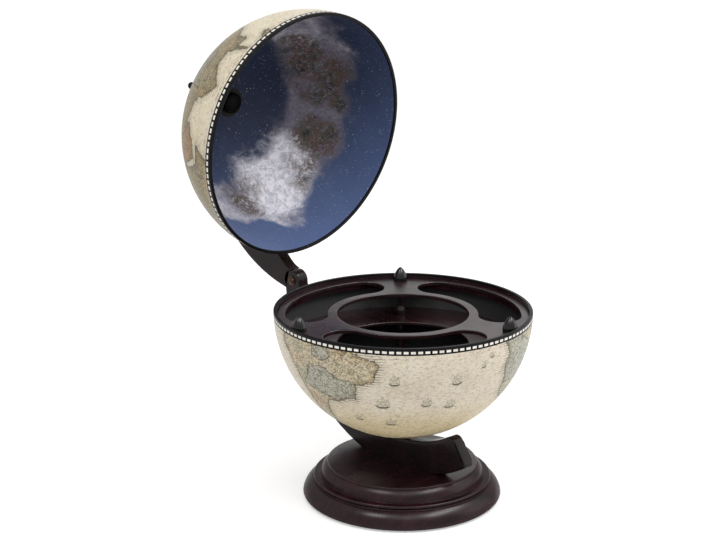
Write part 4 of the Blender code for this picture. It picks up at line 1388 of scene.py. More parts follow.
@dataclass
class HalfGlobe:
    """A half of the globe: papered shell and rim ring with its chequered band."""

    half: Half
    axes: Axes
    body: Body
    finishes: Finishes
    atlas: Atlas
    radius: float
    rim_depth: float = 0.013
    wall: float = 0.0045
    pole_hole: float = 0.0068
    seam: float = 0.00003
    band_edge: float = 0.0036
    dash_end: float = 0.0067
    band_end: float = 0.0088
    edge_round: float = 0.0009
    ledge_width: float = 0.0085
    ledge_top: float = 0.0113
    ledge_low: float = 0.0170
    dash_turns: int = 2
    gap_turns: int = 1
    rings: int = 110
    turns: int = 360
    skirt_rings: int = 4

    @property
    def bore(self) -> float:
        """Inner radius of the shell."""
        return self.radius - self.wall

    @property
    def crown(self) -> float:
        """Depth below the equator to which the rounded edges reach."""
        return 3 * self.edge_round

    @property
    def pole(self) -> str:
        """Name of the half."""
        return "bowl" if self.half is Half.SOUTH else "lid"

    def sphere(self, radius: float, depth_start: float, hole: float, rings: int) -> Array:
        """Profile of a sphere, from a depth below the equator to a hole at the pole.

        Radius and height are the sphere's radius times cosine and sine of an evenly spaced latitude.
        """
        rise = np.linspace(math.asin(depth_start / radius), math.acos(hole / radius), rings)
        return pairs(radius * np.cos(rise), self.half.value * radius * np.sin(rise))

    def surface(self, piece: Workpiece, profile: Array, finish: int | Array, chart: bool = False) -> None:
        """Adds a turned surface that carries the globe's directions.

        Args:
            piece: Workpiece that takes it.
            profile: Radii and heights.
            finish: Index of its finish, or one index for each face.
            chart: Whether it carries the map's chart too.
        """
        local = turned(WORLD, profile, self.turns)
        direction = local / np.linalg.norm(local, axis=-1, keepdims=True)
        values = self.atlas.chart(direction) if chart else None
        piece.add(self.axes.at(local), finish, around=True, globe=direction, chart=values)

    def shell(self, inside: Material) -> None:
        """Builds the papered shell, with the map outside.

        Args:
            inside: Finish of the inside.
        """
        piece = Workpiece()
        lip = self.rim_depth + self.seam
        outer = self.sphere(self.radius, lip, self.pole_hole, self.rings)
        inner = self.sphere(self.bore, lip, self.pole_hole, self.rings)
        self.surface(piece, outer, 0, chart=True)
        self.surface(piece, inner, 1)
        self.surface(piece, np.stack([outer[0], inner[0]]), 1)
        self.surface(piece, np.stack([outer[-1], inner[-1]]), 1)
        piece.done(f"{self.pole}_paper", [self.finishes.map_paper, inside], self.body,
                   [f"{self.pole}_shell"])

    def outside(self, depths: Point) -> Array:
        """Profile of the globe's outside at depths below the equator."""
        depths = np.asarray(depths, float)
        return pairs(depth_radius(self.radius, depths), self.half.value * depths)

    def rim(self, inner_corners: Sequence[Pair], inner_finish: Material) -> None:
        """Builds the rim ring.

        Args:
            inner_corners: Radii and depths of its inside, from the equator's face to the band's lower edge.
            inner_finish: Finish of the inside.
        """
        side = self.half.value
        piece = Workpiece()
        crown = [(self.bore, self.crown), (self.bore, 0.0), (self.radius, 0.0),
                 tuple(self.outside([self.crown])[0] * (1, side))]
        self.surface(piece, softened(crown, self.edge_round) * (1, side), 0)

        pitch = self.dash_turns + self.gap_turns
        dashes = np.where(np.arange(self.turns) % pitch < self.dash_turns, 1, 0)
        band = self.outside([self.crown, self.band_edge, self.dash_end, self.band_end])
        band_finish = np.zeros((self.turns, 3), int)
        band_finish[:, 1] = dashes
        self.surface(piece, band, band_finish)

        skirt = self.outside(np.linspace(self.band_end, self.rim_depth, self.skirt_rings))
        self.surface(piece, skirt, 2, chart=True)
        inside = np.vstack([[(self.bore, self.crown)], inner_corners, skirt[-1:] * (1, side)])
        self.surface(piece, inside * (1, side), 3)
        piece.done(f"{self.pole}_band", [self.finishes.lacquer, self.finishes.dash, self.finishes.map_paper,
                                         inner_finish], self.body, [f"{self.pole}_rim"])

    def bowl_rim(self) -> None:
        """Builds the bowl's rim, with the ledge that carries the tray."""
        ledge = self.bore - self.ledge_width
        lip = depth_radius(self.bore, self.ledge_low) - SEAT_GAP
        self.rim([(self.bore, self.ledge_top), (ledge, self.ledge_top), (ledge, self.ledge_low),
                  (lip, self.ledge_low), (lip, self.rim_depth)], self.finishes.turned_wood)

    def lid_rim(self) -> None:
        """Builds the lid's rim, with the sky carried on inside it."""
        self.rim([(depth_radius(self.bore, self.rim_depth), self.rim_depth)], self.finishes.sky_paper)


@dataclass
class Fleet:
    """Small sailing ships inked on the seas, as on many old maps.

    Places hold degrees east and north and a scale, negative for a ship that sails the other way. All other
    lists are in ship lengths: masts hold a place, a foot and a top, canvases a place, a foot, a top and half
    a width, and the swell a place, a height and a length.
    """

    globe: HalfGlobe
    places: Sequence[Triple] = (
        (-5.0, -17.0, 0.85), (23.0, -18.0, -0.9), (-11.0, -30.0, 1.15), (10.0, -29.0, 0.85),
        (22.0, -31.0, 0.9), (-26.0, -41.0, -0.7), (-8.0, -43.0, 0.85), (40.0, -8.0, -0.5),
        (36.0, -12.0, 0.5), (118.0, -30.0, 1.0), (105.0, -14.0, -1.0), (165.0, -34.0, 1.1),
        (-160.0, -16.0, 1.0), (-128.0, -30.0, -1.1), (-104.0, -14.0, 1.0), (-92.0, -38.0, 1.1),
        (76.0, -44.0, -1.0), (-146.0, -48.0, 1.0))
    lift: float = 0.00012
    size: float = 0.0165
    mast_width: float = 0.014
    masts: Sequence[Triple] = ((-0.28, 0.06, 0.72), (0.02, 0.04, 0.98), (0.30, 0.08, 0.76))
    canvases: Sequence[tuple[float, float, float, float]] = (
        (-0.28, 0.20, 0.58, 0.11), (0.02, 0.16, 0.52, 0.14), (0.02, 0.56, 0.84, 0.10),
        (0.30, 0.20, 0.62, 0.11))
    swell: Sequence[Triple] = ((-0.20, -0.17, 0.26), (0.24, -0.20, 0.22), (0.62, -0.08, 0.12))
    keel_length: float = 0.86
    keel_depth: float = 0.17
    keel_fullness: float = 0.6
    waterline: float = 0.05
    sheer: float = 0.10
    stern_rise: float = 0.08
    stern_length: float = 0.25
    pennant: Pair = (0.11, -0.02)
    pennant_widths: Pair = (0.05, 0.01)
    ripple: float = 0.02
    ripple_width: float = 0.022
    belly_back: float = 0.05
    belly_front: float = 0.08
    taper: float = 0.25
    canvas_scale: float = 0.66
    hull_points: int = 12
    sail_points: int = 8
    rows: int = 4

    def hull(self) -> list[Array]:
        """Crescent hull with a raised stern, masts with pennants, and strokes of swell, in ship lengths.

        Returns:
            One flat strip for each part.
        """
        t = np.linspace(0.0, 1.0, self.hull_points)
        x = t - 0.5
        keel_height = self.waterline - self.keel_depth * np.sin(math.pi * t) ** self.keel_fullness
        stern = np.clip(self.stern_length - t, 0.0, 1.0) / self.stern_length
        deck_height = self.waterline + self.sheer * (2 * t - 1) ** 2 + self.stern_rise * stern
        keel = pairs(x * self.keel_length, keel_height)
        parts = [ruled(keel, pairs(x, deck_height), self.rows)]
        for place, low, high in self.masts:
            foot = np.array([[place - self.mast_width, low], [place + self.mast_width, low]])
            parts.append(ruled(foot, foot + (0.0, high - low)))
            flag = np.array([[place, high], [place + self.pennant[0], high + self.pennant[1]]])
            parts.append(ruled(flag, flag - [(0.0, width) for width in self.pennant_widths]))
        for place, height, reach in self.swell:
            wave = pairs(place + reach * x, height + self.ripple * np.sin(2 * math.pi * t))
            parts.append(ruled(wave, wave + (0.0, self.ripple_width)))
        return parts

    def sails(self, scale: float) -> list[Array]:
        """Square sails that belly forward, in ship lengths.

        Args:
            scale: Size of each sail about its own middle; the inked edge shows round a smaller canvas.

        Returns:
            One flat strip for each sail.
        """
        t = np.linspace(0.0, 1.0, self.sail_points)
        belly = np.sin(math.pi * t)
        parts = []
        for place, low, high, width in self.canvases:
            height = low + (high - low) * t
            back = place - width + self.belly_back * belly
            front = place + width * (1.0 - self.taper * t) + self.belly_front * belly
            sail = ruled(pairs(back, height), pairs(front, height), self.rows)
            middle = sail.reshape(-1, 2).mean(axis=0)
            parts.append(middle + (sail - middle) * scale)
        return parts

    def build(self) -> None:
        """Lays every ship on the globe: lengths east and north become degrees by the globe's radius."""
        piece = Workpiece()
        radius = self.globe.radius + self.lift
        size = math.degrees(self.size / radius)
        layers = (self.hull(), self.sails(1.0), self.sails(self.canvas_scale))
        for longitude, latitude, scale in self.places:
            shrink = math.cos(math.radians(latitude))
            for layer, parts in enumerate(layers):
                lift = radius + layer * self.lift / len(layers)
                for flat in parts:
                    east = longitude + flat[..., 0] * scale * size / shrink
                    north = latitude + flat[..., 1] * abs(scale) * size
                    points = self.globe.axes.at(lift * self.globe.atlas.direction(east, north))
                    piece.add(points[::-1] if scale < 0 else points, layer)
        piece.done("bowl_ships", self.globe.finishes.ship_inks, self.globe.body, solid=False)


# Rack inside the bowl


@dataclass
class Rack:
    """Tray with three kidney-shaped slots and a round well, over a shelf and a floor, with pegs and posts."""

    axes: Axes
    finishes: Finishes
    bore: float
    facing: float = -133.9
    slots: int = 3
    tray_drop: float = 0.006
    tray_thickness: float = 0.005
    well: float = 0.084
    slot_inner: float = 0.096
    slot_outer: float = 0.1502
    slot_ends: float = 36.3
    edge_round: float = 0.0011
    shelf_drop: float = 0.045
    shelf_thickness: float = 0.004
    floor_drop: float = 0.098
    floor_thickness: float = 0.004
    floor_hole: float = 0.020
    post_radius: float = 0.007
    post_waist: float = 0.0045
    post_foot: float = 0.004
    post_margin: float = 0.011
    peg_radius: float = 0.0095
    peg_rise: float = 0.012
    peg_wall_gap: float = 0.0008
    peg_shank: float = 0.004
    peg_taper: float = 1.1
    peg_rounding: float = 0.6
    peg_foot: float = 0.0008
    peg_points: int = 22
    peg_crowding: float = 1.6
    peg_turns: int = 64
    post_turns: int = 48
    web_start: float = 0.4
    side_points: int = 49
    end_points: int = 25
    rows: int = 7

    def edge_at(self, depth: float) -> float:
        """Radius of a level of the rack that is seated in the bowl at a depth."""
        return depth_radius(self.bore, depth) - SEAT_GAP

    def slot_loop(self) -> Array:
        """Outline of a slot about its own direction: outer arc, round end, inner arc and round end.

        Returns:
            The points of the outline, once round.
        """
        middle = (self.slot_inner + self.slot_outer) / 2
        half = (self.slot_outer - self.slot_inner) / 2
        ends = self.slot_ends
        return np.vstack([
            arc((0, 0), self.slot_outer, -ends, ends, self.side_points)[:-1],
            arc(polar(middle, ends), half, ends, ends + HALF_TURN, self.end_points)[:-1],
            arc((0, 0), self.slot_inner, ends, -ends, self.side_points)[:-1],
            arc(polar(middle, -ends), half, HALF_TURN - ends, FULL_TURN - ends, self.end_points)[:-1],
        ])

    def sector_turns(self) -> Array:
        """Directions of the points along a sector's arc, denser towards the web at each end.

        Returns:
            Degrees from the slot's own direction.
        """
        edge = FULL_TURN / self.slots / 2
        share = (self.end_points - 1) // 3
        corner = self.slot_ends + self.web_start * (edge - self.slot_ends)
        web = np.linspace(corner, edge, share + 1)
        return np.concatenate([-web[::-1][:-1], np.linspace(-corner, corner, self.side_points), web[1:]])

    def sector_loop(self, inner: float, outer: float) -> Array:
        """Outline of a slot's sector of the tray, with as many points as the slot's outline.

        It starts where the slot's does, and goes along the outer arc, in along the web's middle line, back
        along the inner arc and out again.

        Args:
            inner: Radius of the inner arc.
            outer: Radius of the outer arc.

        Returns:
            The points of the outline, once round.
        """
        turns = self.sector_turns()
        share = (self.end_points - 1) // 3
        along = np.linspace(outer, inner, self.end_points - 2 * share)[1:-1]
        line = along[:, None] * polar(1.0, turns[-1])
        return np.vstack([
            polar(outer, turns[share:]),
            line,
            polar(inner, turns[::-1]),
            line[::-1] * (1, -1),
            polar(outer, turns[:share]),
        ])

    def tray(self) -> None:
        """Builds the tray: between a slot's outline and its sector's, points are shared out evenly."""
        piece = Workpiece()
        top = -self.tray_drop
        low = top - self.tray_thickness
        outer = self.bore - SEAT_GAP
        soft = self.edge_round
        inset = 3 * soft
        slot = self.slot_loop()
        side = np.roll(slot, -1, axis=0) - np.roll(slot, 1, axis=0)
        outward = pairs(side[:, 1], -side[:, 0]) / np.linalg.norm(side, axis=1, keepdims=True)
        wall = softened([(inset, top), (0.0, top), (0.0, low), (inset, low)], soft)
        sector = self.sector_loop(self.well + inset, outer - inset)
        plan = ruled(slot + outward * inset, sector, self.rows)
        strip = slot[:, None] + outward[:, None] * wall[None, :, 0, None]
        heights = np.broadcast_to(wall[None, :, 1, None], (*strip.shape[:2], 1))
        turns = []
        for k in range(self.slots):
            place = self.slot_axes(k)
            piece.add(place.at(np.concatenate([strip, heights], axis=-1)), around=True)
            for level in (top, low):
                flat = np.full((*plan.shape[:2], 1), level)
                piece.add(place.at(np.concatenate([plan, flat], axis=-1)), around=True)
            turns.append(self.sector_turns()[:-1] + self.facing + k * FULL_TURN / self.slots)
        for edge, into in ((self.well, 1), (outer, -1)):
            rim = wall * (into, 1) + (edge, 0.0)
            piece.add(turned(self.axes, rim, np.concatenate(turns)), around=True)
        piece.done("tray_look", [self.finishes.rack_wood], Body.BOWL, ["tray"])

    def slot_axes(self, k: int) -> Axes:
        """Axes turned so that x points along a slot's direction.

        Args:
            k: Number of the slot, from 0.

        Returns:
            The turned axes.
        """
        turn = math.radians(self.facing + k * FULL_TURN / self.slots)
        x = math.cos(turn) * self.axes.x + math.sin(turn) * self.axes.y
        y = math.cos(turn) * self.axes.y - math.sin(turn) * self.axes.x
        return Axes(self.axes.origin, x, y, self.axes.z)

    def level(self, name: str, hole: float, drop: float, thickness: float) -> None:
        """Builds a ring of the rack whose edge leans in with the bowl.

        Args:
            name: Name of the node.
            hole: Radius of its hole.
            drop: Depth of its top below the equator.
            thickness: Its thickness.
        """
        low = drop + thickness
        ring = [(hole, -drop), (self.edge_at(drop), -drop), (self.edge_at(low), -low), (hole, -low)]
        turned_piece(name, self.axes, softened(ring, self.edge_round, ring=True), self.finishes.rack_wood,
                     Body.BOWL)

    def post(self, name: str, place: Array, low: float, high: float) -> None:
        """Builds a turned spacer with a waist.

        Args:
            name: Name of the node.
            place: Its place in the plane of the rack.
            low: Height of its foot.
            high: Height of its top.
        """
        foot = self.post_foot
        upper = eased((self.post_radius, high - foot), (self.post_waist, high - 3 * foot))
        lower = eased((self.post_waist, low + 3 * foot), (self.post_radius, low + foot))
        ends = [[(0.0, high), (self.post_radius, high)], [(self.post_radius, low), (0.0, low)]]
        profile = np.vstack([ends[0], upper, lower, ends[1]])
        turned_piece(name, self.axes.moved((*place, 0.0)), profile, self.finishes.rack_wood, Body.BOWL,
                     self.post_turns)

    def peg(self, name: str, place: Array) -> None:
        """Builds a tapered peg: up its height t, the radius shrinks as (1 - t^taper)^rounding.

        Args:
            name: Name of the node.
            place: Its place in the plane of the rack.
        """
        foot = -self.tray_drop + SEAT_GAP
        shoulder = foot + self.peg_shank
        t = 1.0 - np.linspace(0.0, 1.0, self.peg_points) ** self.peg_crowding
        crown = pairs(self.peg_radius * (1.0 - t ** self.peg_taper) ** self.peg_rounding,
                      shoulder + (self.peg_rise - shoulder) * t)
        base = softened([crown[-1], (self.peg_radius, foot), (0.0, foot)], self.peg_foot)
        turned_piece(name, self.axes.moved((*place, 0.0)), np.vstack([crown, base[1:]]),
                     self.finishes.peg_lacquer, Body.BOWL, self.peg_turns)

    def build(self) -> None:
        """Builds the rack."""
        self.tray()
        self.level("glass_shelf", self.well, self.shelf_drop, self.shelf_thickness)
        self.level("bottle_floor", self.floor_hole, self.floor_drop, self.floor_thickness)
        shelf_low = self.shelf_drop + self.shelf_thickness
        floor_edge = self.edge_at(self.floor_drop + self.floor_thickness)
        middle = (self.slot_inner + self.slot_outer) / 2
        peg_circle = self.bore - self.peg_wall_gap - self.peg_radius
        for k in range(self.slots):
            spoke = self.facing + (k + 0.5) * FULL_TURN / self.slots
            self.peg(f"lid_peg_{k + 1}", polar(peg_circle, spoke))
            self.post(f"tray_post_{k + 1}", polar(middle, spoke), -self.shelf_drop + SEAT_GAP,
                      -self.tray_drop - self.tray_thickness - SEAT_GAP)
            self.post(f"shelf_post_{k + 1}", polar(floor_edge - self.post_margin - self.post_radius, spoke),
                      -self.floor_drop + SEAT_GAP, -shelf_low - SEAT_GAP)


# Arms and stand


@dataclass
class MeridianArm:
    """One arm of the split meridian board, which ends in a knuckle at the hinge.

    The lower arm's cheeks carry the knuckle and its core stops short of it, to make a fork. The upper arm's
    core carries the knuckle as a tongue, and its cheeks stop short.
    """

    half: Half
    name: str
    body: Body
    axes: Axes
    centre: Array
    stop: float
    end: float
    finish: Material
    inner: float = 0.173
    outer: float = 0.217
    thickness: float = 0.016
    core: float = 0.0056
    edge: float = 0.0015
    knuckle: float = 0.014
    seat: float = 0.0146
    knuckle_end: float = 182.0
    knuckle_top: Pair = (130.0, 50.0)
    waist_sweep: float = 13.5
    inner_corner: float = 0.009
    outer_corner: float = 0.003
    seam: float = 0.00002
    crease: float = 50.0
    columns: int = 8
    knuckle_points: int = 14
    waist_points: int = 13
    stop_points: int = 4
    neck_points: int = 10
    arc_points: int = 60
    corner_points: int = 8
    search_points: int = 200

    def waist(self, t: Array) -> Array:
        """Inner edge from the knuckle to the plain arc: its radius eases as its direction runs evenly.

        Args:
            t: Shares of the way along it.

        Returns:
            Points about the pivot.
        """
        start = polar(self.knuckle, -self.half.value * self.knuckle_end)
        reach = start - self.centre
        radius = np.linalg.norm(reach)
        turn = heading(reach)
        radii = (radius + (self.inner - radius) * smooth(t))[:, None]
        return self.centre + radii * polar(1.0, turn + (self.half.value * self.waist_sweep - turn) * t)

    def stop_corner(self) -> Array:
        """Where the stop's ray from the pivot meets the outer edge.

        Returns:
            The point about the pivot.
        """
        ray = polar(1.0, self.stop)
        along = float(self.centre @ ray)
        return ray * (along + math.sqrt(along ** 2 - float(self.centre @ self.centre) + self.outer ** 2))

    def plan(self, with_knuckle: bool) -> Array:
        """Flat shape of the board: straight rows from its inner edge to its outer edge.

        Args:
            with_knuckle: Whether it starts at the knuckle's top, or on a circle that clears the knuckle.

        Returns:
            Grid of points about the pivot, rows by columns by 2.
        """
        side = self.half.value
        if with_knuckle:
            inner_top, outer_top = (-side * turn for turn in self.knuckle_top)
            first = arc((0, 0), self.knuckle, inner_top, outer_top, self.columns)
            knuckle_end = -side * self.knuckle_end
            inner_parts = [arc((0, 0), self.knuckle, inner_top, knuckle_end, self.knuckle_points)[1:]]
            outer_parts = [arc((0, 0), self.knuckle, outer_top, self.stop, self.knuckle_points)[1:]]
            waist_start = 0.0
            stop_start = self.knuckle
        else:
            shares = np.linspace(0.0, 0.5, self.search_points)
            clear = np.linalg.norm(self.waist(shares), axis=1)
            waist_start = float(np.interp(self.seat, clear, shares))
            begin = self.waist(np.array([waist_start]))[0]
            first = arc((0, 0), self.seat, heading(begin), self.stop, self.columns)
            inner_parts = []
            outer_parts = []
            stop_start = self.seat
        corner = self.stop_corner()
        ray = polar(1.0, self.stop)
        stop_reach = np.linspace(stop_start, np.linalg.norm(corner), self.stop_points)[1:]
        neck = side * self.waist_sweep
        inner_parts.append(self.waist(np.linspace(waist_start, 1.0, self.waist_points)[1:]))
        outer_parts.append(stop_reach[:, None] * ray)
        outer_parts.append(arc(self.centre, self.outer, heading(corner - self.centre), neck,
                               self.neck_points)[1:])
        inner_edge = np.vstack([*inner_parts, *self.free_end(self.inner, self.inner_corner)])
        outer_edge = np.vstack([*outer_parts, *self.free_end(self.outer, -self.outer_corner)])
        return np.concatenate([first[None], ruled(inner_edge, outer_edge, self.columns)])

    def free_end(self, radius: float, corner: float) -> tuple[Array, Array]:
        """Plain arc of an edge and the round corner at the board's free end.

        Args:
            radius: Radius of the edge.
            corner: Radius of the corner, negative for one that is rounded inwards of the edge.

        Returns:
            Points of the arc, and points of the corner.
        """
        side = self.half.value
        middle = radius + corner
        turn = side * (QUARTER_TURN + self.end - math.degrees(math.asin(abs(corner) / middle)))
        start = turn + HALF_TURN * (corner > 0)
        sweep = -side * math.copysign(QUARTER_TURN, corner)
        plain = arc(self.centre, radius, side * self.waist_sweep, turn, self.arc_points)
        corner_centre = self.centre + polar(middle, turn)
        rounded = arc(corner_centre, abs(corner), start, start + sweep, self.corner_points)
        return plain[1:], rounded[1:]

    def build(self) -> None:
        """Builds two cheeks and the core between them, flush with one another."""
        piece = Workpiece()
        half = self.thickness / 2
        core = self.core / 2
        cheek_plan = self.plan(self.half is Half.SOUTH)
        core_plan = self.plan(self.half is Half.NORTH)
        board(piece, self.axes, cheek_plan, -half, -core, self.edge, 0.0, self.seat)
        board(piece, self.axes, core_plan, -core + self.seam, core - self.seam, 0.0, 0.0, self.seat)
        board(piece, self.axes, cheek_plan, core, half, 0.0, self.edge, self.seat)
        piece.done(f"{self.name}_look", [self.finish], self.body, [self.name], self.crease)


@dataclass
class Meridian:
    """The split meridian: two arms that meet in the hinge, with stop faces at the end of the lid's swing."""

    finishes: Finishes
    bowl: Axes
    lid: Axes
    closed_gap: float = 0.0008
    stop: float = -42.0
    stop_play: float = 1.2
    stub_sweep: float = 33.3
    past_pole: float = 0.016
    tongue: float = 0.005

    def build(self) -> None:
        """Builds the lower arm with its fork, and the upper arm with its tongue, open almost to the stop."""
        wood = self.finishes.arm_wood
        low = hinge_axes(self.bowl)
        high = hinge_axes(self.lid)
        centre = np.array([-low.origin[1], self.bowl.origin[2] - low.origin[2]])
        MeridianArm(Half.SOUTH, "lower_arm", Body.BASE, low, centre, self.stop, self.stub_sweep, wood).build()
        open_stop = self.stop + joint_of("lid_hinge")["range_deg"][1] + self.stop_play
        sweep = math.degrees(self.past_pole / MeridianArm.outer)
        MeridianArm(Half.NORTH, "upper_arm", Body.UPPER_ARM, high, centre + (0.0, self.closed_gap), open_stop,
                    sweep, wood, core=self.tongue).build()


@dataclass
class Stand:
    """Turned base on felt, with the lower arm let into it."""

    axes: Axes
    finishes: Finishes
    radius: float
    top: float
    felt_thickness: float
    felt_radius: float
    foot_round: float = 0.0051
    large_round: float = 0.012
    large_radius: float = 0.024
    small_bead: float = 0.0024
    small_step: float = 0.0016
    fillet: float = 0.0055
    lower_step: float = 0.0015
    upper_step: Pair = (0.001, 0.0034)
    ovolo: Pair = (0.007, 0.0094)
    ovolo_radius: float = 0.0195
    quirk: float = 0.0007
    disc: float = 0.0028
    crisp: float = 0.00045
    felt_edge: float = 0.0004
    disc_points: int = 7
    ovolo_points: int = 24
    bead_points: int = 14
    round_points: int = 26
    foot_points: int = 12
    plinth_turns: int = 240
    felt_turns: int = 160

    def profile(self) -> Array:
        """Profile of the base: flat disc, ovolo, two steps, small bead, and a large round with its foot.

        Returns:
            Radii and heights, from the top's middle to the foot's.
        """
        foot = self.felt_thickness + SEAT_GAP
        round_in = self.radius - self.large_round
        bead_out = round_in - self.small_step
        bead_in = bead_out - self.small_bead
        lower_out = bead_in - self.fillet
        upper_out = lower_out - self.lower_step
        ovolo_out = upper_out - self.upper_step[0]
        ovolo_in = ovolo_out - self.ovolo[0]
        disc_out = ovolo_in - self.quirk
        ovolo_top = self.top - self.disc
        ovolo_low = ovolo_top - self.ovolo[1]
        upper_low = ovolo_low - self.upper_step[1]
        fillet_level = upper_low - self.lower_step
        bead_low = fillet_level - 2 * self.small_bead
        round_top = bead_low - self.small_step
        round_low = foot + self.foot_round
        rows = np.linspace(0.0, disc_out, self.disc_points)[:-1]
        return np.vstack([
            pairs(rows, np.full_like(rows, self.top)),
            softened([(rows[-1], self.top), (disc_out, self.top), (disc_out, ovolo_top),
                      (ovolo_in, ovolo_top)], self.crisp * 2)[1:-1],
            bulge((ovolo_in, ovolo_top), (ovolo_out, ovolo_low), self.ovolo_radius, self.ovolo_points),
            softened([(ovolo_out, ovolo_low), (upper_out, ovolo_low), (upper_out, upper_low),
                      (lower_out, upper_low), (lower_out, fillet_level), (bead_in, fillet_level)],
                     self.crisp)[1:-1],
            arc((bead_in, fillet_level - self.small_bead), self.small_bead, QUARTER_TURN, -QUARTER_TURN,
                self.bead_points),
            softened([(bead_in, bead_low), (bead_out, bead_low), (bead_out, round_top),
                      (round_in, round_top)], self.crisp)[1:-1],
            bulge((round_in, round_top), (self.radius, round_low), self.large_radius, self.round_points),
            arc((self.radius - self.foot_round, round_low), self.foot_round, 0.0, -QUARTER_TURN,
                self.foot_points)[1:],
            [(0.0, foot)],
        ])

    def build(self) -> None:
        """Builds the plinth and the felt."""
        turned_piece("base_plinth", self.axes, self.profile(), self.finishes.turned_wood, Body.BASE,
                     self.plinth_turns)
        felt = softened([(0.0, self.felt_thickness), (self.felt_radius, self.felt_thickness),
                         (self.felt_radius, 0.0), (0.0, 0.0)], self.felt_edge)
        turned_piece("base_felt", self.axes, felt, self.finishes.felt, Body.BASE, self.felt_turns)


@dataclass
class Fittings:
    """Hinge, pole pins, cap and finial."""

    finishes: Finishes
    hinge: Axes
    bowl: Axes
    lid: Axes
    board_half: float = 0.008
    washer_thickness: float = 0.0012
    washer_radius: float = 0.006
    bolt_radius: float = 0.002
    head_radius: float = 0.0045
    head_height: float = 0.003
    nut_height: float = 0.005
    pin_radius: float = 0.003
    soft: float = 0.0004
    collar_radius: float = 0.010
    collar_low: float = 0.1658
    collar_high: float = 0.1737
    cap_radius: float = 0.0145
    cap_edge: float = 0.0025
    cap_crown: float = 0.006
    cap_face: float = 0.15725
    finial_foot: float = 0.2173
    finial_base: Pair = (0.009, 0.0026)
    finial_neck: Pair = (0.0052, 0.007)
    finial_vase: Pair = (0.0074, 0.0155)
    finial_waist: Pair = (0.004, 0.0240)
    finial_ball: float = 0.0052
    finial_edge: float = 0.0007
    ball_points: int = 20
    bronze_turns: int = 64
    turns: int = 96

    def dome(self, radius: float, height: float, count: int = 14) -> Array:
        """Quarter ellipse from the axis down to the edge of a domed head."""
        t = np.linspace(0.0, math.pi / 2, count)
        return pairs(radius * np.sin(t), height * np.cos(t))

    def bronze_piece(self, name: str, axes: Axes, profile: Array, body: Body) -> None:
        """Builds a small turned piece of bronze."""
        turned_piece(name, axes, profile, self.finishes.bronze, body, self.bronze_turns)

    def hinge_set(self) -> None:
        """Builds the washers, the bolt's domed head and the cap nut, along the hinge's axis."""
        across = Axes(self.hinge.origin, self.hinge.y, self.hinge.z, self.hinge.x)
        near = self.board_half + SEAT_GAP
        far = near + self.washer_thickness
        washer = (self.bolt_radius, self.washer_radius), (near, far)
        for place, side in (("left", -1), ("right", 1)):
            self.ring(f"hinge_washer_{place}", across, *washer, side, Body.BASE)
        head = self.dome(self.head_radius, self.head_height) * (1, -1) - (0.0, far)
        shank = [(self.bolt_radius, -far), (self.bolt_radius, far), (0.0, far)]
        self.bronze_piece("hinge_bolt", across, np.vstack([head, shank]), Body.BASE)
        nut = self.dome(self.head_radius, self.nut_height) + (0.0, far)
        self.bronze_piece("hinge_cap_nut", across, np.vstack([nut, [(0.0, far)]]), Body.BASE)

    def ring(self, name: str, axes: Axes, radii: Pair, heights: Pair, side: int, body: Body) -> None:
        """Builds a washer or a collar.

        Args:
            name: Name of the node.
            axes: Axes whose z it lies round.
            radii: Radii of its hole and its edge.
            heights: Heights of its two faces.
            side: 1, or -1 where heights count downwards.
            body: Body that it moves with.
        """
        hole, edge = radii
        near, far = heights
        profile = softened([(hole, near), (edge, near), (edge, far), (hole, far)], self.soft, ring=True)
        self.bronze_piece(name, axes, profile * (1, side), body)

    def cap(self) -> None:
        """Builds the domed cap inside the lid."""
        edge = self.cap_face - self.cap_edge
        dome = self.dome(self.cap_radius, self.cap_crown) * (1, -1) + (0.0, edge)
        profile = np.vstack([dome, softened([(self.cap_radius, edge), (self.cap_radius, self.cap_face),
                                             (0.0, self.cap_face)], self.soft)[1:]])
        turned_piece("north_cap", self.lid, profile, self.finishes.cap_lacquer, Body.UPPER_ARM,
                     self.turns)

    def finial(self) -> None:
        """Builds the turned knob: a foot, a vase and a ball."""
        up = (0.0, self.finial_foot)
        marks = (self.finial_waist, self.finial_vase, self.finial_neck, self.finial_base)
        waist, vase, neck, base = (np.add(mark, up) for mark in marks)
        drop = math.sqrt(self.finial_ball ** 2 - self.finial_waist[0] ** 2)
        start = -math.degrees(math.atan2(drop, self.finial_waist[0]))
        ball = arc((0.0, waist[1] + drop), self.finial_ball, QUARTER_TURN, start, self.ball_points)
        ball[0, 0] = 0.0
        foot = softened([neck, base, (base[0], self.finial_foot), (0.0, self.finial_foot)], self.finial_edge)
        profile = np.vstack([ball, eased(waist, vase)[1:], eased(vase, neck)[1:], foot[1:]])
        turned_piece("finial", self.lid, profile, self.finishes.lacquer, Body.UPPER_ARM,
                     self.turns)

    def dress(self) -> None:
        """Gives the fasteners that stay as they are in the frame their metal."""
        steel = ("arm_screw_front", "arm_screw_back", "south_bolt", "south_washer", "south_nut", "north_bolt")
        bronze = ("south_bush", "north_bush")
        for names, finish in ((steel, self.finishes.steel), (bronze, self.finishes.bronze)):
            for name in names:
                materials = frame["nodes"][name].data.materials
                materials.clear()
                materials.append(finish)
                LOG.info("%s: dressed in %s", name, finish.name)

    def build(self) -> None:
        """Builds the fittings."""
        self.hinge_set()
        collar = (self.pin_radius, self.collar_radius), (self.collar_low, self.collar_high)
        self.ring("south_collar", self.bowl, *collar, Half.SOUTH.value, Body.BASE)
        self.ring("north_collar", self.lid, *collar, Half.NORTH.value, Body.UPPER_ARM)
        self.cap()
        self.finial()
        self.dress()


# Studio


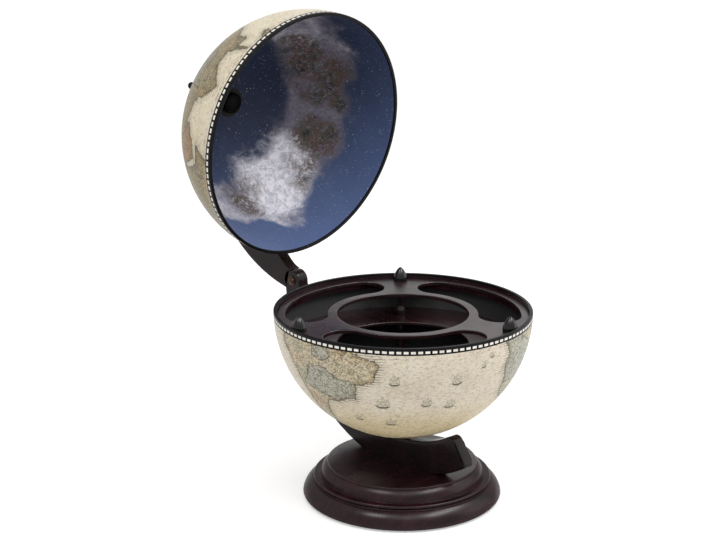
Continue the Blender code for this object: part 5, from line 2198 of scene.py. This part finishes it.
@dataclass(frozen=True)
class Lamp:
    """A soft lamp of a width and a depth that points at a place.

    A lamp for gloss alone shows in polished surfaces and adds nothing to the light on matt ones.
    """

    name: str
    place: Point
    aim: Point
    size: Point
    power: float
    gloss_only: bool = False

    def hang(self) -> None:
        """Puts the lamp into the scene."""
        data = bpy.data.lights.new(self.name, "AREA")
        data.shape = "RECTANGLE"
        data.size, data.size_y = self.size
        data.energy = self.power
        lamp = bpy.data.objects.new(self.name, data)
        lamp.location = self.place
        lamp.visible_diffuse = not self.gloss_only
        lamp.rotation_euler = (Vector(self.aim) - Vector(self.place)).to_track_quat("-Z", "Y").to_euler()
        bpy.context.scene.collection.objects.link(lamp)


@dataclass
class Studio:
    """White sweep, soft lamps and the camera."""

    image: tuple[int, int] = (716, 540)
    focal_pixels: float = 1734.3
    sensor: float = 36.0
    azimuth: float = -43.87
    elevation: float = 15.83
    distance: float = 2.1939
    aim_aside: float = -0.0573
    aim_height: float = 0.3034
    floor_radius: float = 7.0
    ambient: float = 0.72
    floor_colour: Colour = (0.86, 0.86, 0.86)
    floor_glow: float = 0.38
    floor_sides: int = 96
    floor_cloud: Noise = Noise(3.0, 3.0)
    floor_cloud_share: float = 0.1
    view_end: float = 100.0
    lamps: Sequence[Lamp] = (
        Lamp("left lamp", (-1.08, -0.41, 1.95), (0.0, 0.0, 0.1), (1.6, 0.9), 8.0),
        Lamp("front lamp", (0.02, -1.155, 1.95), (0.0, 0.0, 0.1), (2.0, 0.9), 12.0),
        Lamp("right lamp", (1.9, -1.4, 1.3), (0.0, 0.0, 0.3), (2.0, 2.0), 16.0),
        Lamp("left gloss", (-1.135, -0.02, 1.90), (0.0, 0.0, 0.1), (0.6, 0.5), 12.0, gloss_only=True),
        Lamp("right gloss", (0.587, -0.972, 1.90), (0.0, 0.0, 0.1), (1.6, 0.5), 36.0, gloss_only=True),
    )

    def camera(self) -> None:
        """Sets the camera up at the photograph's angle."""
        data = bpy.data.cameras.new("camera")
        data.sensor_width = self.sensor
        data.lens = self.focal_pixels / self.image[0] * self.sensor
        data.clip_end = self.view_end
        camera = bpy.data.objects.new("camera", data)
        turn = math.radians(self.azimuth)
        rise = math.radians(self.elevation)
        back = Vector((math.sin(turn) * math.cos(rise), -math.cos(turn) * math.cos(rise), math.sin(rise)))
        aim = Vector((math.cos(turn), math.sin(turn), 0.0)) * self.aim_aside + Vector((0, 0, self.aim_height))
        camera.location = aim + back * self.distance
        camera.rotation_euler = (-back).to_track_quat("-Z", "Y").to_euler()
        bpy.context.scene.collection.objects.link(camera)
        bpy.context.scene.camera = camera

    def seen_directly(self, sheet: NodeSheet) -> Shade:
        """1 for rays from the camera, off gloss or through clear surfaces, and 0 for those that light.

        Args:
            sheet: Node tree that it is built in.

        Returns:
            The value, 0 or 1.
        """
        path = sheet.node("ShaderNodeLightPath")
        labels = ("Is Camera Ray", "Is Glossy Ray", "Is Transmission Ray")
        return reduce(Shade.larger, [Shade(sheet, path.outputs[label]) for label in labels])

    def world(self) -> None:
        """White where it is seen, and a softer ambient light on surfaces."""
        world = bpy.data.worlds.new("studio")
        bpy.context.scene.world = world
        sheet = NodeSheet(world)
        strength = self.seen_directly(sheet).fade(Fade(0.0, 1.0, self.ambient, 1.0))
        light = sheet.node("ShaderNodeBackground", {"Color": (*WHITE, 1.0), "Strength": strength})
        sheet.node("ShaderNodeOutputWorld", {"Surface": light.outputs[0]})

    def floor(self) -> None:
        """Lays a round white floor: a plain diffuse sheet, with a glow that lights nothing."""
        rim = turned(WORLD, [(self.floor_radius, 0.0)], self.floor_sides)[:, 0]
        mesh = bpy.data.meshes.new("floor")
        mesh.from_pydata(rim.tolist(), [], [list(range(self.floor_sides))])
        material = bpy.data.materials.new("white floor")
        sheet = NodeSheet(material)
        cloud = sheet.noise(sheet.place(), self.floor_cloud).between(0.0, self.floor_cloud_share)
        white = sheet.blend(cloud, self.floor_colour, WHITE)
        strength = self.seen_directly(sheet) * self.floor_glow
        diffuse = sheet.node("ShaderNodeBsdfDiffuse", {"Color": white})
        glow = sheet.node("ShaderNodeEmission", {"Strength": strength})
        both = sheet.node("ShaderNodeAddShader", {0: diffuse.outputs[0], 1: glow.outputs[0]})
        sheet.node("ShaderNodeOutputMaterial", {"Surface": both.outputs[0]})
        mesh.materials.append(material)
        floor = bpy.data.objects.new("floor", mesh)
        bpy.context.scene.collection.objects.link(floor)

    def build(self) -> None:
        """Builds the studio."""
        bpy.context.scene.view_settings.view_transform = "Standard"
        self.camera()
        self.world()
        self.floor()
        for lamp in self.lamps:
            lamp.hang()


def main() -> None:
    """Builds the object piece by piece, then the studio round it."""
    logging.basicConfig(level=logging.INFO, format="%(message)s")
    base_top = float(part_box("base_plinth")[1][2])
    finishes = Finishes(base_top)
    view = Studio()
    bowl_axes = pole_axes("bowl_spin")
    lid_axes = pole_axes("lid_spin")
    globe_radius = float(span("bowl_rim")[0]) / 2

    base_radius = float(span("base_plinth")[0]) / 2
    felt_width, _, felt_thickness = (float(size) for size in span("base_felt"))
    Stand(WORLD, finishes, base_radius, base_top, felt_thickness, felt_width / 2).build()
    Meridian(finishes, bowl_axes, lid_axes).build()

    bowl = HalfGlobe(Half.SOUTH, bowl_axes, Body.BOWL, finishes, Atlas(view.azimuth), globe_radius)
    bowl.shell(finishes.lining)
    bowl.bowl_rim()
    Fleet(bowl).build()
    Rack(bowl_axes, finishes, bowl.bore).build()

    lid_atlas = Atlas(view.azimuth + LID_TURN)
    lid = HalfGlobe(Half.NORTH, lid_axes, Body.LID, finishes, lid_atlas, globe_radius)
    lid.shell(finishes.sky_paper)
    lid.lid_rim()
    Fittings(finishes, hinge_axes(bowl_axes), bowl_axes, lid_axes).build()

    view.build()


if __name__ == "__main__":
    main()
